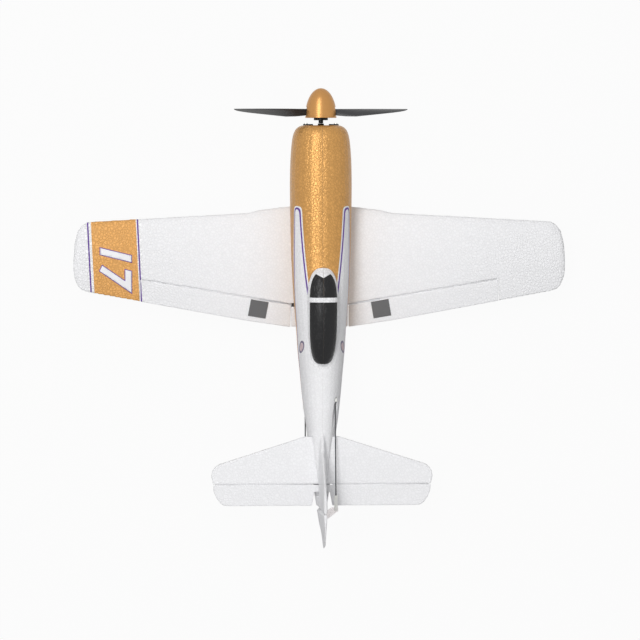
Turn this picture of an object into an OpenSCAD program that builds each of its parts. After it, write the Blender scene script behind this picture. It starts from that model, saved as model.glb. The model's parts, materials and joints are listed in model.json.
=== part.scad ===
// Radio-controlled warbird of moulded bead foam: millimetres, X to the right wing, Y to the nose, Z up.
// The belly rests on z = 0. Nose pieces are placed from the spinner tip, tail pieces from the rudder's end.

/* [Airframe] */
// Length from the spinner tip to the rudder's trailing edge
body_len = 368; // [350:1:450]
// Wing span from tip to tip
span = 400; // [340:1:480]
// Greatest width of the fuselage
body_w = 50; // [48:1:62]
// Height of the propeller shaft above the belly
thrust_z = 30; // [30:0.5:31]

/* [Wing] */
// Rise of each wing panel over its run, in degrees
dihedral = 4; // [2:0.5:7]
// Greatest thickness of the wing at the root
root_thick = 10.5; // [9:0.5:12]
// Greatest thickness of the wing near the tip
tip_thick = 6.5; // [5:0.5:9]
// Diameter of the carbon spar rods
spar_d = 2; // [1.5:0.5:3]

/* [Control surfaces] */
// Gap between a fixed surface and the moving surface behind it
hinge_gap = 0.8; // [0.6:0.1:1.4]
// Thickness of the stabilizer and elevator
tail_thick = 4.5; // [3.5:0.25:5.5]
// Diameter of the wire pushrods and torque rods
wire_d = 1; // [0.8:0.1:1.4]
// Distance from the elevator hinge to the hole in its horn
elevator_arm = 10.5; // [9:0.5:12]
// Distance from the rudder hinge to the hole in its horn
rudder_arm = 10.4; // [10:0.2:11.4]

/* [Propeller] */
// Diameter of the two-blade propeller
prop_d = 140; // [110:1:170]
// Distance that the propeller would advance in one turn
prop_pitch = 114; // [70:1:150]
// Diameter of the spinner
spinner_d = 25.2; // [22:0.1:30]
// Length of the spinner shell
spinner_len = 22.5; // [20:0.5:22.5]
// Diameter of the steel propeller shaft
shaft_d = 2; // [1.5:0.25:2]

/* [Gearbox] */
// Gear tooth module
gear_module = 0.4; // [0.36:0.01:0.4]
// Teeth on the propeller gear
spur_teeth = 42; // [38:1:42]
// Teeth on the motor pinion
pinion_teeth = 12; // [12:1:14]
// Diameter of the motor can
motor_d = 10; // [8:0.5:10]
// Length of the motor can
motor_len = 18.8; // [16:0.2:20]

/* [Power and radio] */
// Length of the battery cell
battery_len = 40; // [30:1:40]
// Width of the battery cell
battery_w = 20; // [16:1:22]
// Thickness of the battery cell
battery_h = 7; // [5:0.5:7]
// Length of each servo case
servo_len = 20; // [18:0.5:22]
// Thickness of each servo case
servo_w = 8; // [6:0.5:9]
// Length of the receiver board
board_len = 36; // [28:1:40]
// Width of the receiver board
board_w = 22; // [18:1:24]

/* [Fits] */
// Running clearance of a shaft in its bush, measured on the radius
run_gap = 0.04; // [0.02:0.01:0.08]
// Clearance of an insert in its foam pocket
pocket_gap = 0.25; // [0.15:0.05:0.4]
// Clearance between foam pieces that are glued together
glue_gap = 0.15; // [0.1:0.05:0.3]

/* [Hidden] */
$fn = 48;
far = 600;

// Stations: nose(s) lies s behind the spinner tip, tail(t) lies t ahead of the rudder's trailing edge
function nose(s) = body_len / 2 - s;
function tail(t) = t - body_len / 2;

// Fuselage: one row per station, with half the width as a part of body_w, then the top and bottom heights
cowl_front = 30;
rudder_hinge_t = 30.4;
body_rows = [
    [nose(cowl_front), 0.31, 45.6, 14.2], [nose(31.6), 0.376, 49, 10.4], [nose(35), 0.428, 51.8, 7.2],
    [nose(42), 0.466, 53.8, 4.6], [nose(60), 0.494, 56, 1.5], [nose(85), 0.5, 57.3, 0.4],
    [nose(124), 0.486, 58, 0.4], [nose(150), 0.466, 59, 0.5], [nose(172), 0.44, 59.4, 1.4],
    [nose(193), 0.404, 59.4, 3.2], [nose(212), 0.38, 58.7, 5.8], [nose(230), 0.345, 57.4, 9.2],
    [tail(124), 0.32, 56.5, 12.5], [tail(104), 0.276, 55.5, 16.4], [tail(85), 0.22, 53.5, 20.4],
    [tail(66), 0.17, 52, 25], [tail(47), 0.132, 50.5, 29],
    [tail(rudder_hinge_t + hinge_gap), 0.085, 49.6, 32.6]];
// Canopy: one row per station, with half the width and the top height
canopy_rows = [
    [nose(143.5), 3, 59.4], [nose(146.5), 7.5, 62], [nose(152), 10.4, 66], [nose(160), 11.8, 69.3],
    [nose(172), 12.4, 70.8], [nose(186), 12.3, 70.2], [nose(200), 11.4, 67.8], [nose(211), 9.5, 64.7],
    [nose(218), 6.8, 62], [nose(222), 3.2, 60]];
canopy_sill = 50;

// Wing: leading and trailing edges against the distance from the centreline
tip_x = span / 2;
root_x = 24.5;
wing_le = [[0, 99.5], [12, 99], [19, 95.6], [root_x, 95.3], [51, 98.6], [58, 100.6], [tip_x - 12, 107.6],
    [tip_x - 7, 110.9], [tip_x - 4, 114.7], [tip_x - 1.4, 125], [tip_x - 0.3, 139]];
wing_te = [[0, 193.8], [root_x, 193.8], [59.4, 188.5], [tip_x - 53, 172.2], [tip_x - 12, 164.6],
    [tip_x - 6, 162.6], [tip_x - 2.5, 158], [tip_x - 0.3, 150]];
wing_stations = [0, 12, 19, root_x, 40, 51, 58, 80, 100, 125, tip_x - 53, tip_x - 30, tip_x - 12,
    tip_x - 7, tip_x - 4, tip_x - 1.4, tip_x - 0.3];
wing_thick = [[0, root_thick], [root_x, root_thick], [tip_x - 12, tip_thick], [tip_x - 4, tip_thick * 0.75],
    [tip_x - 0.3, tip_thick * 0.3]];
wing_le_z = 10.5;
wing_te_z = 9.5;
camber = 0.02;
te_half = 0.5;
foil_u = [0, 0.012, 0.05, 0.12, 0.22, 0.35, 0.5, 0.65, 0.8, 0.92, 1];

function half_thick(u) = 5 * (0.2969 * sqrt(u) - 0.126 * u - 0.3516 * u * u + 0.2843 * pow(u, 3)
    - 0.1036 * pow(u, 4));
function chord(x) = lookup(x, wing_te) - lookup(x, wing_le);
function wing_mid(x, u) = wing_le_z + (wing_te_z - wing_le_z) * u + camber * 4 * u * (1 - u) * chord(x)
    + max(0, x - root_x) * tan(dihedral);
function wing_half(x, u, grow = 0) = half_thick(u) * lookup(x, wing_thick) + te_half * u + grow;
function wing_top(x, s) = let (u = (s - lookup(x, wing_le)) / chord(x)) wing_mid(x, u) + wing_half(x, u);

// Aileron hinge: a straight line under the wing's top skin
hinge_in = [23.6, 175.4];
hinge_out = [tip_x - 54.5, 154.5];
hinge_depth = 1.3;
hinge_sweep = atan((hinge_in[1] - hinge_out[1]) / (hinge_out[0] - hinge_in[0]));
hinge_run = norm(hinge_out - hinge_in);
hinge_in_z = wing_top(hinge_in[0], hinge_in[1]) - hinge_depth;
hinge_out_z = wing_top(hinge_out[0], hinge_out[1]) - hinge_depth;
hinge_rise = atan((hinge_out_z - hinge_in_z) / hinge_run);
hinge_len = norm([hinge_run, hinge_out_z - hinge_in_z]);
bevel = 32;
aileron_end_gap = 0.5;

// Torque rods, patches and sleeves, measured along the aileron hinge from its inner end
wire_r = wire_d / 2;
rod_in_x = 10;
rod_inner = (rod_in_x - hinge_in[0]) / cos(hinge_sweep) / cos(hinge_rise);
rod_outer = 25.6;
rod_leg = 12;
leg_x = hinge_in[0] + rod_outer * cos(hinge_sweep);
leg_s = hinge_in[1] - rod_outer * sin(hinge_sweep);
leg_drop = atan((wing_top(leg_x, leg_s) - wing_top(leg_x, leg_s + rod_leg)) / rod_leg);
sleeve_r = 1.5;
sleeve_from = -9.9;
sleeve_to = -0.8;
patch_w = 14.6;
patch_h = 13.8;
patch_thick = 0.4;

// Aileron servo: upright behind the receiver, its slotted arm drives both torque rods
aileron_axis_s = hinge_in[1] + (hinge_in[0] - rod_in_x) * tan(hinge_sweep);
aileron_arm_z = 21.4;
arm_thick = 1.2;
slot_w = wire_d + 1.4;
aileron_arm_r = 12.8;

// Stabilizer and elevator
stab_top = 49;
stab_z = stab_top - tail_thick;
elevator_hinge_t = 49.2;
elevator_axis_z = stab_top - 1;
horn_x = -13;
horn_thick = 1;
elevator_slot = 2.3;

// Fin and rudder
fin_le = [[48, 96], [54, 92], [60, 78], [75, 66], [90, 54], [94, 49], [96, 42], [97, 35]];
fin_thick = [[33, 6.8], [48, 6.6], [58, 5.2], [97, 2.8]];
rudder_te = [[33, 20], [34, 17.5], [36, 15], [42, 12], [48, 10], [55, 5.5], [62, 2], [70, 0],
    [86, 3.5], [92, 8.5], [95, 14], [96.5, 21]];
rudder_levels = [33, 34, 36, 42, 48, 55, 62, 70, 78, 86, 92, 95, 96.5];
fin_levels = [47, 54, 60, 68, 75, 83, 90, 94, 96, 97];

// Servo arms and pushrods that drive the tail
elevator_servo_s = 216;
elevator_servo_z = 44;
elevator_hole_z = elevator_axis_z - elevator_arm;
rudder_servo_s = 232;
rudder_arm_z = 43.8;
rudder_rod_z = rudder_arm_z + arm_thick + 0.3 + wire_r;
rudder_horn_z = 59.5;
horn_root = 7.5;
clevis_len = 11;
clevis_prong = 0.8;
clevis_gap = 0.3;
pin_r = 0.45;
elevator_arm_x = horn_x + wire_r + 0.3;
rod_r = 0.5;
guide_len = 3;
guide_wall = 0.7;
rudder_guide_s = 249;
elevator_guide_s = 256;
function between(y, a, b) = a[2] + (b[2] - a[2]) * (y - a[1]) / (b[1] - a[1]);
rudder_guide_z = between(nose(rudder_guide_s + guide_len / 2), [0, nose(rudder_servo_s), rudder_rod_z],
    [0, tail(rudder_hinge_t + clevis_len), rudder_horn_z]);
elevator_guide_z = between(nose(elevator_guide_s + guide_len / 2),
    [0, nose(elevator_servo_s), elevator_servo_z - elevator_arm],
    [0, tail(elevator_hinge_t + clevis_len), elevator_hole_z]);

// Gearbox and motor
spur_r = gear_module * spur_teeth / 2;
pinion_r = gear_module * pinion_teeth / 2;
gear_backlash = 0.05;
gear_gap = spur_r + pinion_r + gear_backlash;
motor_z = thrust_z - gear_gap;
plate_s = cowl_front + 0.5;
plate_thick = 2;
gear_s = 33.5;
gear_w = 3;
mid_plate_s = 38;
mid_plate_thick = 2;
motor_s = mid_plate_s + mid_plate_thick + 0.2;
barrel_len = 12;
barrel_wall = 1.1;
chamber_r = spur_r + gear_module + 1.1;
bush_r = 2.5;
ear_x = 12;
ear_r = 2.4;
screw_r = 0.7;
ear_thick = 1.1;
head_len = 0.8;
head_s = cowl_front - ear_thick - head_len;
screw_len = 8;
motor_end = motor_s + motor_len;
end_cap_len = 1.3;

// Battery bay, hatch and belly cover
hatch_s = 50.5;
hatch_end = 103;
hatch_half = 13;
hatch_top = 5.6;
battery_s = 57;
battery_z = hatch_top + 0.4;
pad_thick = 0.7;
bay_half = battery_w / 2 + 1;
magnet_r = 2;
magnet_h = 1;
magnet_s = [53.3, 100.3];
belly_s = 104;
belly_end = 190;
belly_foot = 9;
belly_half = 14;
belly_top = 5.6;

// Board bay
bay_half_w = 14.2;
board_s = 108;
board_z = 17.7;
board_thick = 1;
shelf_z = 16.5;

servo_h = 13.2;

foam = "whitesmoke";
gold = "goldenrod";
black = [0.12, 0.12, 0.13];
steel = "silver";

// ---------------------------------------------------------------- shapes used more than once

// Joins moulded foam into one skin
module moulded() resize([0, 0, 0]) children();

// Which way a ring turns: its normal by the right-hand rule
function ring_normal(ring) = [for (p = ring) 1] * [for (i = [0:len(ring) - 1])
    cross(ring[i] - ring[0], ring[(i + 1) % len(ring)] - ring[0])];

// Skin through a list of rings that have as many points each
module skin(rings) {
    n = len(rings[0]);
    m = len(rings);
    flip = ring_normal(rings[0]) * (rings[1][0] - rings[0][0]) > 0;
    points = [for (ring = rings) for (i = [0:n - 1]) ring[flip ? n - 1 - i : i]];
    sides = [for (i = [0:m - 2]) for (j = [0:n - 1])
        [i * n + j, i * n + (j + 1) % n, (i + 1) * n + (j + 1) % n, (i + 1) * n + j]];
    first = [for (j = [n - 1:-1:0]) j];
    last = [for (j = [0:n - 1]) (m - 1) * n + j];
    polyhedron(points, concat([first], sides, [last]), convexity = 6);
}

function spline(a, b, c, d, t) = 0.5 * (2 * b + (c - a) * t + (2 * a - 5 * b + 4 * c - d) * t * t
    + (3 * b - a - 3 * c + d) * pow(t, 3));
function smooth_rows(rows, steps) = let (m = len(rows) - 1) concat(
    [for (i = [0:m - 1]) for (k = [0:steps - 1])
        spline(rows[max(i - 1, 0)], rows[i], rows[i + 1], rows[min(i + 2, m)], k / steps)], [rows[m]]);
function power(v, p) = sign(v) * pow(abs(v), p);
function oval(y, half, top, bottom, n, p) = [for (k = [0:n - 1]) let (a = 360 * (k + 0.5) / n)
    [half * power(cos(a), p), y, (top + bottom) / 2 + (top - bottom) / 2 * power(sin(a), p)]];

// Rod with a round section between two points
module rod(a, b, r) {
    d = b - a;
    translate(a)
        rotate([0, acos(d[2] / norm(d)), atan2(d[1], d[0])])
            cylinder(r = r, h = norm(d));
}

// Thin insulated wire through a list of points, none of which runs along the across direction
module wire(path, r, across = [0, 0, 1]) {
    m = len(path) - 1;
    skin([for (i = [0:m]) let (
            d = path[min(i + 1, m)] - path[max(i - 1, 0)],
            t = d / norm(d),
            side = cross(across, t),
            u = side / norm(side),
            v = cross(t, u))
        [for (k = [0:7]) path[i] + r * (cos(45 * k) * u + sin(45 * k) * v)]]);
}

// Disc or tube across the fuselage, from the station s towards the tail
module along(s, len, r, z, x = 0, hole = 0) {
    translate([x, nose(s), z])
        rotate([90, 0, 0])
            difference() {
                cylinder(r = r, h = len);
                if (hole > 0)
                    translate([0, 0, -1])
                        cylinder(r = hole, h = len + 2);
            }
}

// Block between two stations
module block(s0, s1, x0, x1, z0, z1) {
    translate([x0, nose(s1), z0])
        cube([x1 - x0, s1 - s0, z1 - z0]);
}

// Places its children at the aileron hinge: x runs outwards along it, y forwards, z up
module at_hinge(side) {
    mirror([side < 0 ? 1 : 0, 0, 0])
        translate([hinge_in[0], nose(hinge_in[1]), hinge_in_z])
            rotate([0, 0, hinge_sweep])
                rotate([0, -hinge_rise, 0])
                    children();
}

// Bar along x with the given y-z outline
module bar_x(x0, x1, outline) {
    translate([x0, 0, 0])
        rotate([90, 0, 90])
            linear_extrude(x1 - x0)
                polygon(outline);
}

// ---------------------------------------------------------------- foam forms

module body_form() {
    skin([for (row = smooth_rows(body_rows, 3))
        oval(row[0], row[1] * body_w, row[2], row[3], 28, 0.9)]);
}

module canopy_form() {
    skin([for (row = smooth_rows(canopy_rows, 2))
        oval(row[0], row[1], row[2], canopy_sill, 24, 0.92)]);
}

function fin_section(z) = let (le = lookup(z, fin_le), te = rudder_hinge_t + hinge_gap / 2,
        half = lookup(z, fin_thick) / 2, steps = [0, 0.04, 0.12, 0.25, 0.5, 1]) concat(
    [for (u = steps) [half * sqrt(1 - pow(1 - min(u * 2, 1), 2)), tail(le + (te - le) * u), z]],
    [for (i = [5:-1:1]) let (u = steps[i])
        [-half * sqrt(1 - pow(1 - min(u * 2, 1), 2)), tail(le + (te - le) * u), z]]);

module fin_form() {
    skin([for (z = fin_levels) fin_section(z)]);
}

function foil_ring(x, side, grow) = let (c = chord(x) + 2 * grow, le = lookup(x, wing_le) - grow) concat(
    [for (u = foil_u) [side * x, nose(le + c * u), wing_mid(x, u) + wing_half(x, u, grow)]],
    [for (i = [len(foil_u) - 1:-1:1]) let (u = foil_u[i])
        [side * x, nose(le + c * u), wing_mid(x, u) - wing_half(x, u, grow) - 0.001]]);

module wing_form(grow = 0) {
    m = len(wing_stations) - 1;
    skin(concat(
        [for (i = [m:-1:1]) foil_ring(wing_stations[i], -1, grow)],
        [for (x = wing_stations) foil_ring(x, 1, grow)]));
}

// Bar behind the hinge with the given y-z outline, its two ends cut along the line of flight
module aileron_bar(spare, outline) {
    corners = [[-spare, 10], [hinge_len + spare, 10], [hinge_len + spare, -60], [-spare, -60]];
    intersection() {
        bar_x(-20, hinge_len + 20, outline);
        translate([0, 0, -10])
            linear_extrude(20)
                polygon([for (p = corners) [p[0] + p[1] * tan(hinge_sweep), p[1]]]);
    }
}

// Wedge of the wing that an aileron fills, grown forwards and sideways by the gap
module aileron_room(side) {
    at_hinge(side)
        aileron_bar(aileron_end_gap, [[hinge_gap / 2, 9], [hinge_gap / 2, -9], [-60, -9], [-60, 9]]);
}

module aileron_block(side) {
    at_hinge(side)
        aileron_bar(0,
            [[-hinge_gap / 2, 8], [-hinge_gap / 2, 0], [-hinge_gap / 2 - 8 * tan(bevel), -8], [-60, -8],
                [-60, 8]]);
}

// Space around a torque rod and its bent leg
module torque_rod_room(side) {
    at_hinge(side) {
        translate([rod_inner - 2, 0, 0])
            rotate([0, 90, 0])
                cylinder(r = wire_r + 0.3, h = rod_outer - rod_inner + 3, $fn = 16);
        translate([rod_outer, 0, 0])
            rotate([90 + leg_drop, 0, 0])
                cylinder(r = wire_r + 0.2, h = rod_leg + 1, $fn = 12);
    }
}

module sleeve_room(side) {
    at_hinge(side)
        translate([sleeve_from - 0.5, 0, 0])
            rotate([0, 90, 0])
                cylinder(r = sleeve_r + pocket_gap / 2, h = sleeve_to - sleeve_from + 1, $fn = 16);
}

spar_s = 128;
spar_x = [15.5, tip_x - 40];
function spar_point(x) = [x, nose(spar_s), wing_mid(x, 0.35)];

// Groove that is open below, so that the spar is pressed in from the wing's underside
module spar_groove(side) {
    half = spar_d / 2 + pocket_gap;
    mirror([side < 0 ? 1 : 0, 0, 0])
        hull()
            for (x = [spar_x[0] - 0.5, spar_x[1] + 0.5])
                translate(spar_point(x) - [0, half, 12])
                    cube([0.01, 2 * half, 12 + half]);
}

module belly_outline(grow = 0) {
    polygon([[-belly_foot - grow, -grow], [belly_foot + grow, -grow], [belly_half + grow, 4],
        [belly_half + grow, belly_top + grow], [-belly_half - grow, belly_top + grow],
        [-belly_half - grow, 4]]);
}

module gear_room() {
    along(cowl_front - 2, mid_plate_s - cowl_front + 4, chamber_r, thrust_z);
    block(cowl_front - 2, 40, -8.5, 8.5, motor_z - pinion_r - gear_module - 0.9, thrust_z);
    block(mid_plate_s - 0.4, motor_end + end_cap_len + 2, -9, 9, 12.4, 39.4);
}

module battery_room() {
    block(battery_s - 0.6, battery_s + battery_len + 1.5, -bay_half, bay_half,
        -2, battery_z + battery_h + pad_thick + 0.2);
    block(battery_s + battery_len - 2, battery_s + battery_len + 1.5, -5, 5, 10, 22);
    block(60, 103, -6, 6, 17, 25);
}

module servo_room(s, x0, x1, z0, z1) {
    block(s - pocket_gap, s + servo_len + pocket_gap, x0 - pocket_gap, x1 + pocket_gap,
        z0 - pocket_gap, z1 + pocket_gap);
}

module tail_drive_room() {
    servo_room(elevator_servo_s - servo_len + 4, elevator_servo_in, elevator_servo_in + servo_h,
        elevator_servo_z - servo_w / 2, elevator_servo_z + servo_w / 2);
    block(elevator_servo_s - 6, elevator_servo_s + 6, horn_x - 0.2, elevator_servo_in + 1,
        elevator_servo_z - elevator_arm - 2.4, elevator_servo_z + 3);
    rod_room([horn_x, nose(elevator_servo_s), elevator_servo_z - elevator_arm],
        [horn_x, tail(elevator_hinge_t + clevis_len), elevator_hole_z], 1.3, 1.8);
    servo_room(rudder_servo_s - 4, -servo_w / 2, servo_w / 2, rudder_servo_bottom, rudder_arm_z - 0.5);
    block(rudder_servo_s - 7, rudder_servo_s + 7, -3, rudder_arm + 2,
        rudder_arm_z - 0.6, rudder_rod_z + wire_r + 0.4);
    rod_room([rudder_arm - 0.5, nose(rudder_servo_s), rudder_rod_z],
        [rudder_arm - 0.5, tail(rudder_hinge_t + clevis_len), rudder_horn_z], 1.6, 2);
    block(rudder_guide_s - 0.1, rudder_guide_s + guide_len + 0.1, rudder_arm - 2.7, rudder_arm + 1.7,
        rudder_guide_z - 2.6, rudder_guide_z + 2.6);
    block(elevator_guide_s - 0.1, elevator_guide_s + guide_len + 0.1, horn_x - 1.8, horn_x + 1.8,
        elevator_guide_z - 2.3, elevator_guide_z + 2.3);
    block(192, elevator_servo_s - servo_len + 6, -9, 9, 36, 44);
    block(190, rudder_servo_s - 3.5, 1.2, 7.2, 36.6, 41.4);
}

// Slanted channel for a pushrod, wide and high enough for its swing
module rod_room(a, b, half_x, half_z) {
    d = b - a;
    translate(a)
        rotate([atan2(-d[2], -d[1]), 0, 0])
            translate([-half_x, -norm(d), -half_z])
                cube([2 * half_x, norm(d) + 6, 2 * half_z]);
}

elevator_servo_in = elevator_arm_x + arm_thick + 0.4;
rudder_servo_bottom = rudder_arm_z - 0.5 - servo_h;

module stab_slot() {
    translate([0, 0, stab_z - glue_gap])
        linear_extrude(tail_thick + 2 * glue_gap)
            translate([-40, tail(elevator_hinge_t)])
                square([80, 38.6 + glue_gap]);
    translate([-40, tail(elevator_hinge_t - 9.4), stab_z - elevator_slot])
        cube([80, 9.8, tail_thick + 2 * elevator_slot]);
}

module fuselage() {
    difference() {
        union() {
            body_form();
            canopy_form();
            fin_form();
        }
        wing_form(glue_gap);
        gear_room();
        battery_room();
        block(hatch_s - glue_gap, hatch_end + glue_gap, -hatch_half - glue_gap, hatch_half + glue_gap,
            -2, hatch_top + glue_gap);
        translate([0, nose(belly_end + glue_gap), 0])
            rotate([90, 0, 180])
                linear_extrude(belly_end - belly_s + 2 * glue_gap)
                    belly_outline(glue_gap);
        for (s = magnet_s)
            translate([0, nose(s), hatch_top])
                cylinder(r = magnet_r + glue_gap, h = magnet_h + 0.5, $fn = 16);
        block(102, 198, -bay_half_w, bay_half_w, 9, 44);
        tail_drive_room();
        stab_slot();
        servo_room(aileron_servo_front, -servo_w / 2, servo_w / 2, aileron_arm_z - servo_h - 0.4, 30);
        for (side = [-1, 1]) {
            torque_rod_room(side);
            sleeve_room(side);
            translate([side * ear_x, nose(cowl_front + screw_len + 1), thrust_z])
                rotate([-90, 0, 0])
                    cylinder(r = screw_r + 0.15, h = 20, $fn = 12);
        }
    }
}

// ---------------------------------------------------------------- foam pieces

module fuselage_left() {
    color(foam)
        moulded()
            intersection() {
                fuselage();
                translate([-far, -far / 2, -far / 2])
                    cube(far);
            }
}

module fuselage_right() {
    color(foam)
        moulded()
            intersection() {
                fuselage();
                translate([0, -far / 2, -far / 2])
                    cube(far);
            }
}

module wing() {
    color(foam)
        moulded()
            difference() {
                wing_form();
                for (side = [-1, 1]) {
                    aileron_room(side);
                    torque_rod_room(side);
                    sleeve_room(side);
                    spar_groove(side);
                }
                servo_room(aileron_servo_front, -servo_w / 2, servo_w / 2, 0, 30);
                block(102, 152, -bay_half_w + 0.4, bay_half_w - 0.4, shelf_z, 30);
                block(aileron_axis_s - 4, aileron_axis_s + 4, -14, 14, 10, 30);
            }
}

aileron_servo_front = aileron_axis_s - servo_len + 4;

module aileron(side) {
    color(foam)
        moulded()
            difference() {
                intersection() {
                    wing_form();
                    aileron_block(side);
                }
                torque_rod_room(side);
            }
}

module aileron_left() {
    aileron(-1);
}

module aileron_right() {
    aileron(1);
}

module stabilizer() {
    tip = [[13.5, 87.8], [83.4, 65.5], [86.6, 63.2], [88.6, 59.8], [89.2, 55.8],
        [87.8, elevator_hinge_t + hinge_gap / 2]];
    color(foam)
        moulded()
            translate([0, 0, stab_z])
                linear_extrude(tail_thick)
                    polygon(concat([for (p = tip) [p[0], tail(p[1])]],
                        [for (i = [len(tip) - 1:-1:0]) [-tip[i][0], tail(tip[i][1])]]));
}

module elevator() {
    front = elevator_hinge_t - hinge_gap / 2;
    tip = [[87.6, front], [87.4, 44.3], [85.4, 39], [82, 34.2], [79, 32.3], [74, 32], [8.3, 32], [6.3, 43.1]];
    drop = elevator_axis_z - stab_z;
    color(foam)
        moulded()
            intersection() {
                translate([0, 0, stab_z - 5])
                    linear_extrude(20)
                        polygon(concat([for (p = tip) [p[0], tail(p[1])]],
                            [for (i = [len(tip) - 1:-1:0]) [-tip[i][0], tail(tip[i][1])]]));
                bar_x(-100, 100, [[tail(front), stab_top], [tail(front), elevator_axis_z],
                    [tail(front - drop * tan(bevel)), stab_z], [tail(32), stab_z + 1.2],
                    [tail(32), stab_top - 1]]);
            }
}

function rudder_section(z) = let (te = lookup(z, rudder_te), le = rudder_hinge_t - hinge_gap / 2,
        half = lookup(z, fin_thick) / 2, p = lookup(z, [[33, 0.5], [44, 0.5], [62, 1], [97, 1]]),
        front = min(half, (le - te) * 0.4), steps = [0, 0.15, 0.35, 0.55, 0.75, 0.9, 1]) concat(
    [[0.35, tail(le), z]],
    [for (u = steps) [0.35 + (half - 0.35) * pow(1 - u, p), tail(le - front + (te - le + front) * u), z]],
    [for (i = [6:-1:0]) let (u = steps[i])
        [-0.35 - (half - 0.35) * pow(1 - u, p), tail(le - front + (te - le + front) * u), z]],
    [[-0.35, tail(le), z]]);

module rudder() {
    color(foam)
        moulded()
            difference() {
                skin([for (z = rudder_levels) rudder_section(z)]);
                translate([-1, tail(rudder_hinge_t) - horn_root - glue_gap,
                    rudder_horn_z - (horn_thick + glue_gap) / 2])
                    cube([12, horn_root + glue_gap, horn_thick + glue_gap]);
            }
}

module wing_spars() {
    color(black)
        for (side = [0, 1])
            mirror([side, 0, 0])
                rod(spar_point(spar_x[0]), spar_point(spar_x[1]), spar_d / 2);
}

// ---------------------------------------------------------------- gearbox and motor

module frame_plate(s, thick) {
    along(s, thick, chamber_r - pocket_gap, thrust_z);
    block(s, s + thick, -8.2, 8.2, motor_z - pinion_r - gear_module - 0.5, thrust_z);
}

module gearbox_frame() {
    color(black)
        difference() {
            union() {
                frame_plate(plate_s, plate_thick);
                for (side = [-1, 1]) {
                    along(cowl_front - ear_thick, ear_thick, ear_r, thrust_z, side * ear_x);
                    mirror([side < 0 ? 1 : 0, 0, 0]) {
                        block(cowl_front - ear_thick, cowl_front, 6.5, ear_x,
                            thrust_z - ear_r, thrust_z + ear_r);
                        block(cowl_front - ear_thick, plate_s + 0.5, 6.5, 9,
                            thrust_z - ear_r, thrust_z + ear_r);
                    }
                    along(plate_s, mid_plate_s - plate_s + 1, 1.2, motor_z + 0.6, side * 7);
                }
                block(mid_plate_s, mid_plate_s + mid_plate_thick, -8.2, 8.2, motor_z - 5.5, thrust_z + 4);
                along(mid_plate_s, mid_plate_thick, 4, thrust_z);
                along(mid_plate_s + 1, barrel_len, motor_d / 2 + barrel_wall, motor_z);
            }
            along(plate_s - 3, 8, bush_r, thrust_z);
            along(mid_plate_s - 1, 5, bush_r, thrust_z);
            along(mid_plate_s + mid_plate_thick, barrel_len + 2, motor_d / 2 + 0.05, motor_z);
            along(mid_plate_s - 1, 5, 1.6, motor_z);
            for (side = [-1, 1])
                along(plate_s - 3, 4, screw_r + 0.05, thrust_z, side * ear_x);
        }
}

module mount_screws() {
    color(steel)
        for (side = [-1, 1])
            difference() {
                union() {
                    along(head_s, head_len, 1.5, thrust_z, side * ear_x);
                    along(head_s + 0.5, screw_len, screw_r, thrust_z, side * ear_x);
                }
                for (turn = [0, 90])
                    translate([side * ear_x, nose(head_s + 0.4), thrust_z])
                        rotate([0, turn, 0])
                            translate([-1.2, 0, -0.2])
                                cube([2.4, 1, 0.4]);
            }
}

module shaft_bushes() {
    color("darkgoldenrod") {
        along(plate_s - 2, plate_thick + 2, bush_r, thrust_z, 0, shaft_d / 2 + run_gap);
        along(mid_plate_s, mid_plate_thick, bush_r, thrust_z, 0, shaft_d / 2 + run_gap);
    }
}

module motor_can() {
    color(steel)
        difference() {
            along(motor_s, motor_len, motor_d / 2, motor_z);
            along(motor_s + 0.8, motor_len, motor_d / 2 - 0.4, motor_z);
            along(motor_s - 1, 4, 0.5 + run_gap, motor_z);
        }
}

module motor_end_cap() {
    color("steelblue")
        difference() {
            union() {
                along(motor_end, end_cap_len, motor_d / 2 - 0.1, motor_z);
                along(motor_end - 0.8, 1, motor_d / 2 - 0.45, motor_z);
            }
            for (side = [-1, 1])
                along(motor_end - 2, 5, 0.6, motor_z, side * 2.6);
        }
}

module motor_shaft() {
    color(steel)
        along(gear_s - 0.6, motor_end - gear_s - 0.6, 0.5, motor_z);
}

module motor_rotor() {
    color("peru")
        along(motor_s + 2, motor_len - 4.4, motor_d / 2 - 0.9, motor_z, 0, 0.5);
}

// Involute spur gear: the flanks follow the unwinding of the base circle
module spur_teeth_outline(teeth) {
    r = gear_module * teeth / 2;
    base = r * cos(25);
    tip = r + gear_module * 0.95;
    root = r - gear_module * 1.2;
    half = 90 / teeth - 2.2 * gear_backlash / r * 90 / PI + (tan(25) - 25 * PI / 180) * 180 / PI;
    steps = 4;
    start = max(base, root + 0.02);
    flank = [for (k = [0:steps]) let (
            rr = start + (tip - start) * k / steps,
            a = acos(base / rr),
            inv = (tan(a) - a * PI / 180) * 180 / PI)
        [rr, half - inv]];
    polygon([for (i = [0:teeth - 1]) let (c = 360 * i / teeth) each concat(
        [[root * cos(c - half - 0.6), root * sin(c - half - 0.6)]],
        [for (p = flank) [p[0] * cos(c - p[1]), p[0] * sin(c - p[1])]],
        [for (k = [steps:-1:0]) let (p = flank[k]) [p[0] * cos(c + p[1]), p[0] * sin(c + p[1])]],
        [[root * cos(c + half + 0.6), root * sin(c + half + 0.6)]])]);
}

module pinion() {
    color("darkgoldenrod")
        translate([0, nose(gear_s - 0.3), motor_z])
            rotate([90, 0, 0])
                difference() {
                    linear_extrude(gear_w + 0.9)
                        rotate(pinion_teeth % 2 == 0 ? 90 + 180 / pinion_teeth : 90)
                            spur_teeth_outline(pinion_teeth);
                    translate([0, 0, -1])
                        cylinder(r = 0.5, h = gear_w + 3);
                }
}

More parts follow.
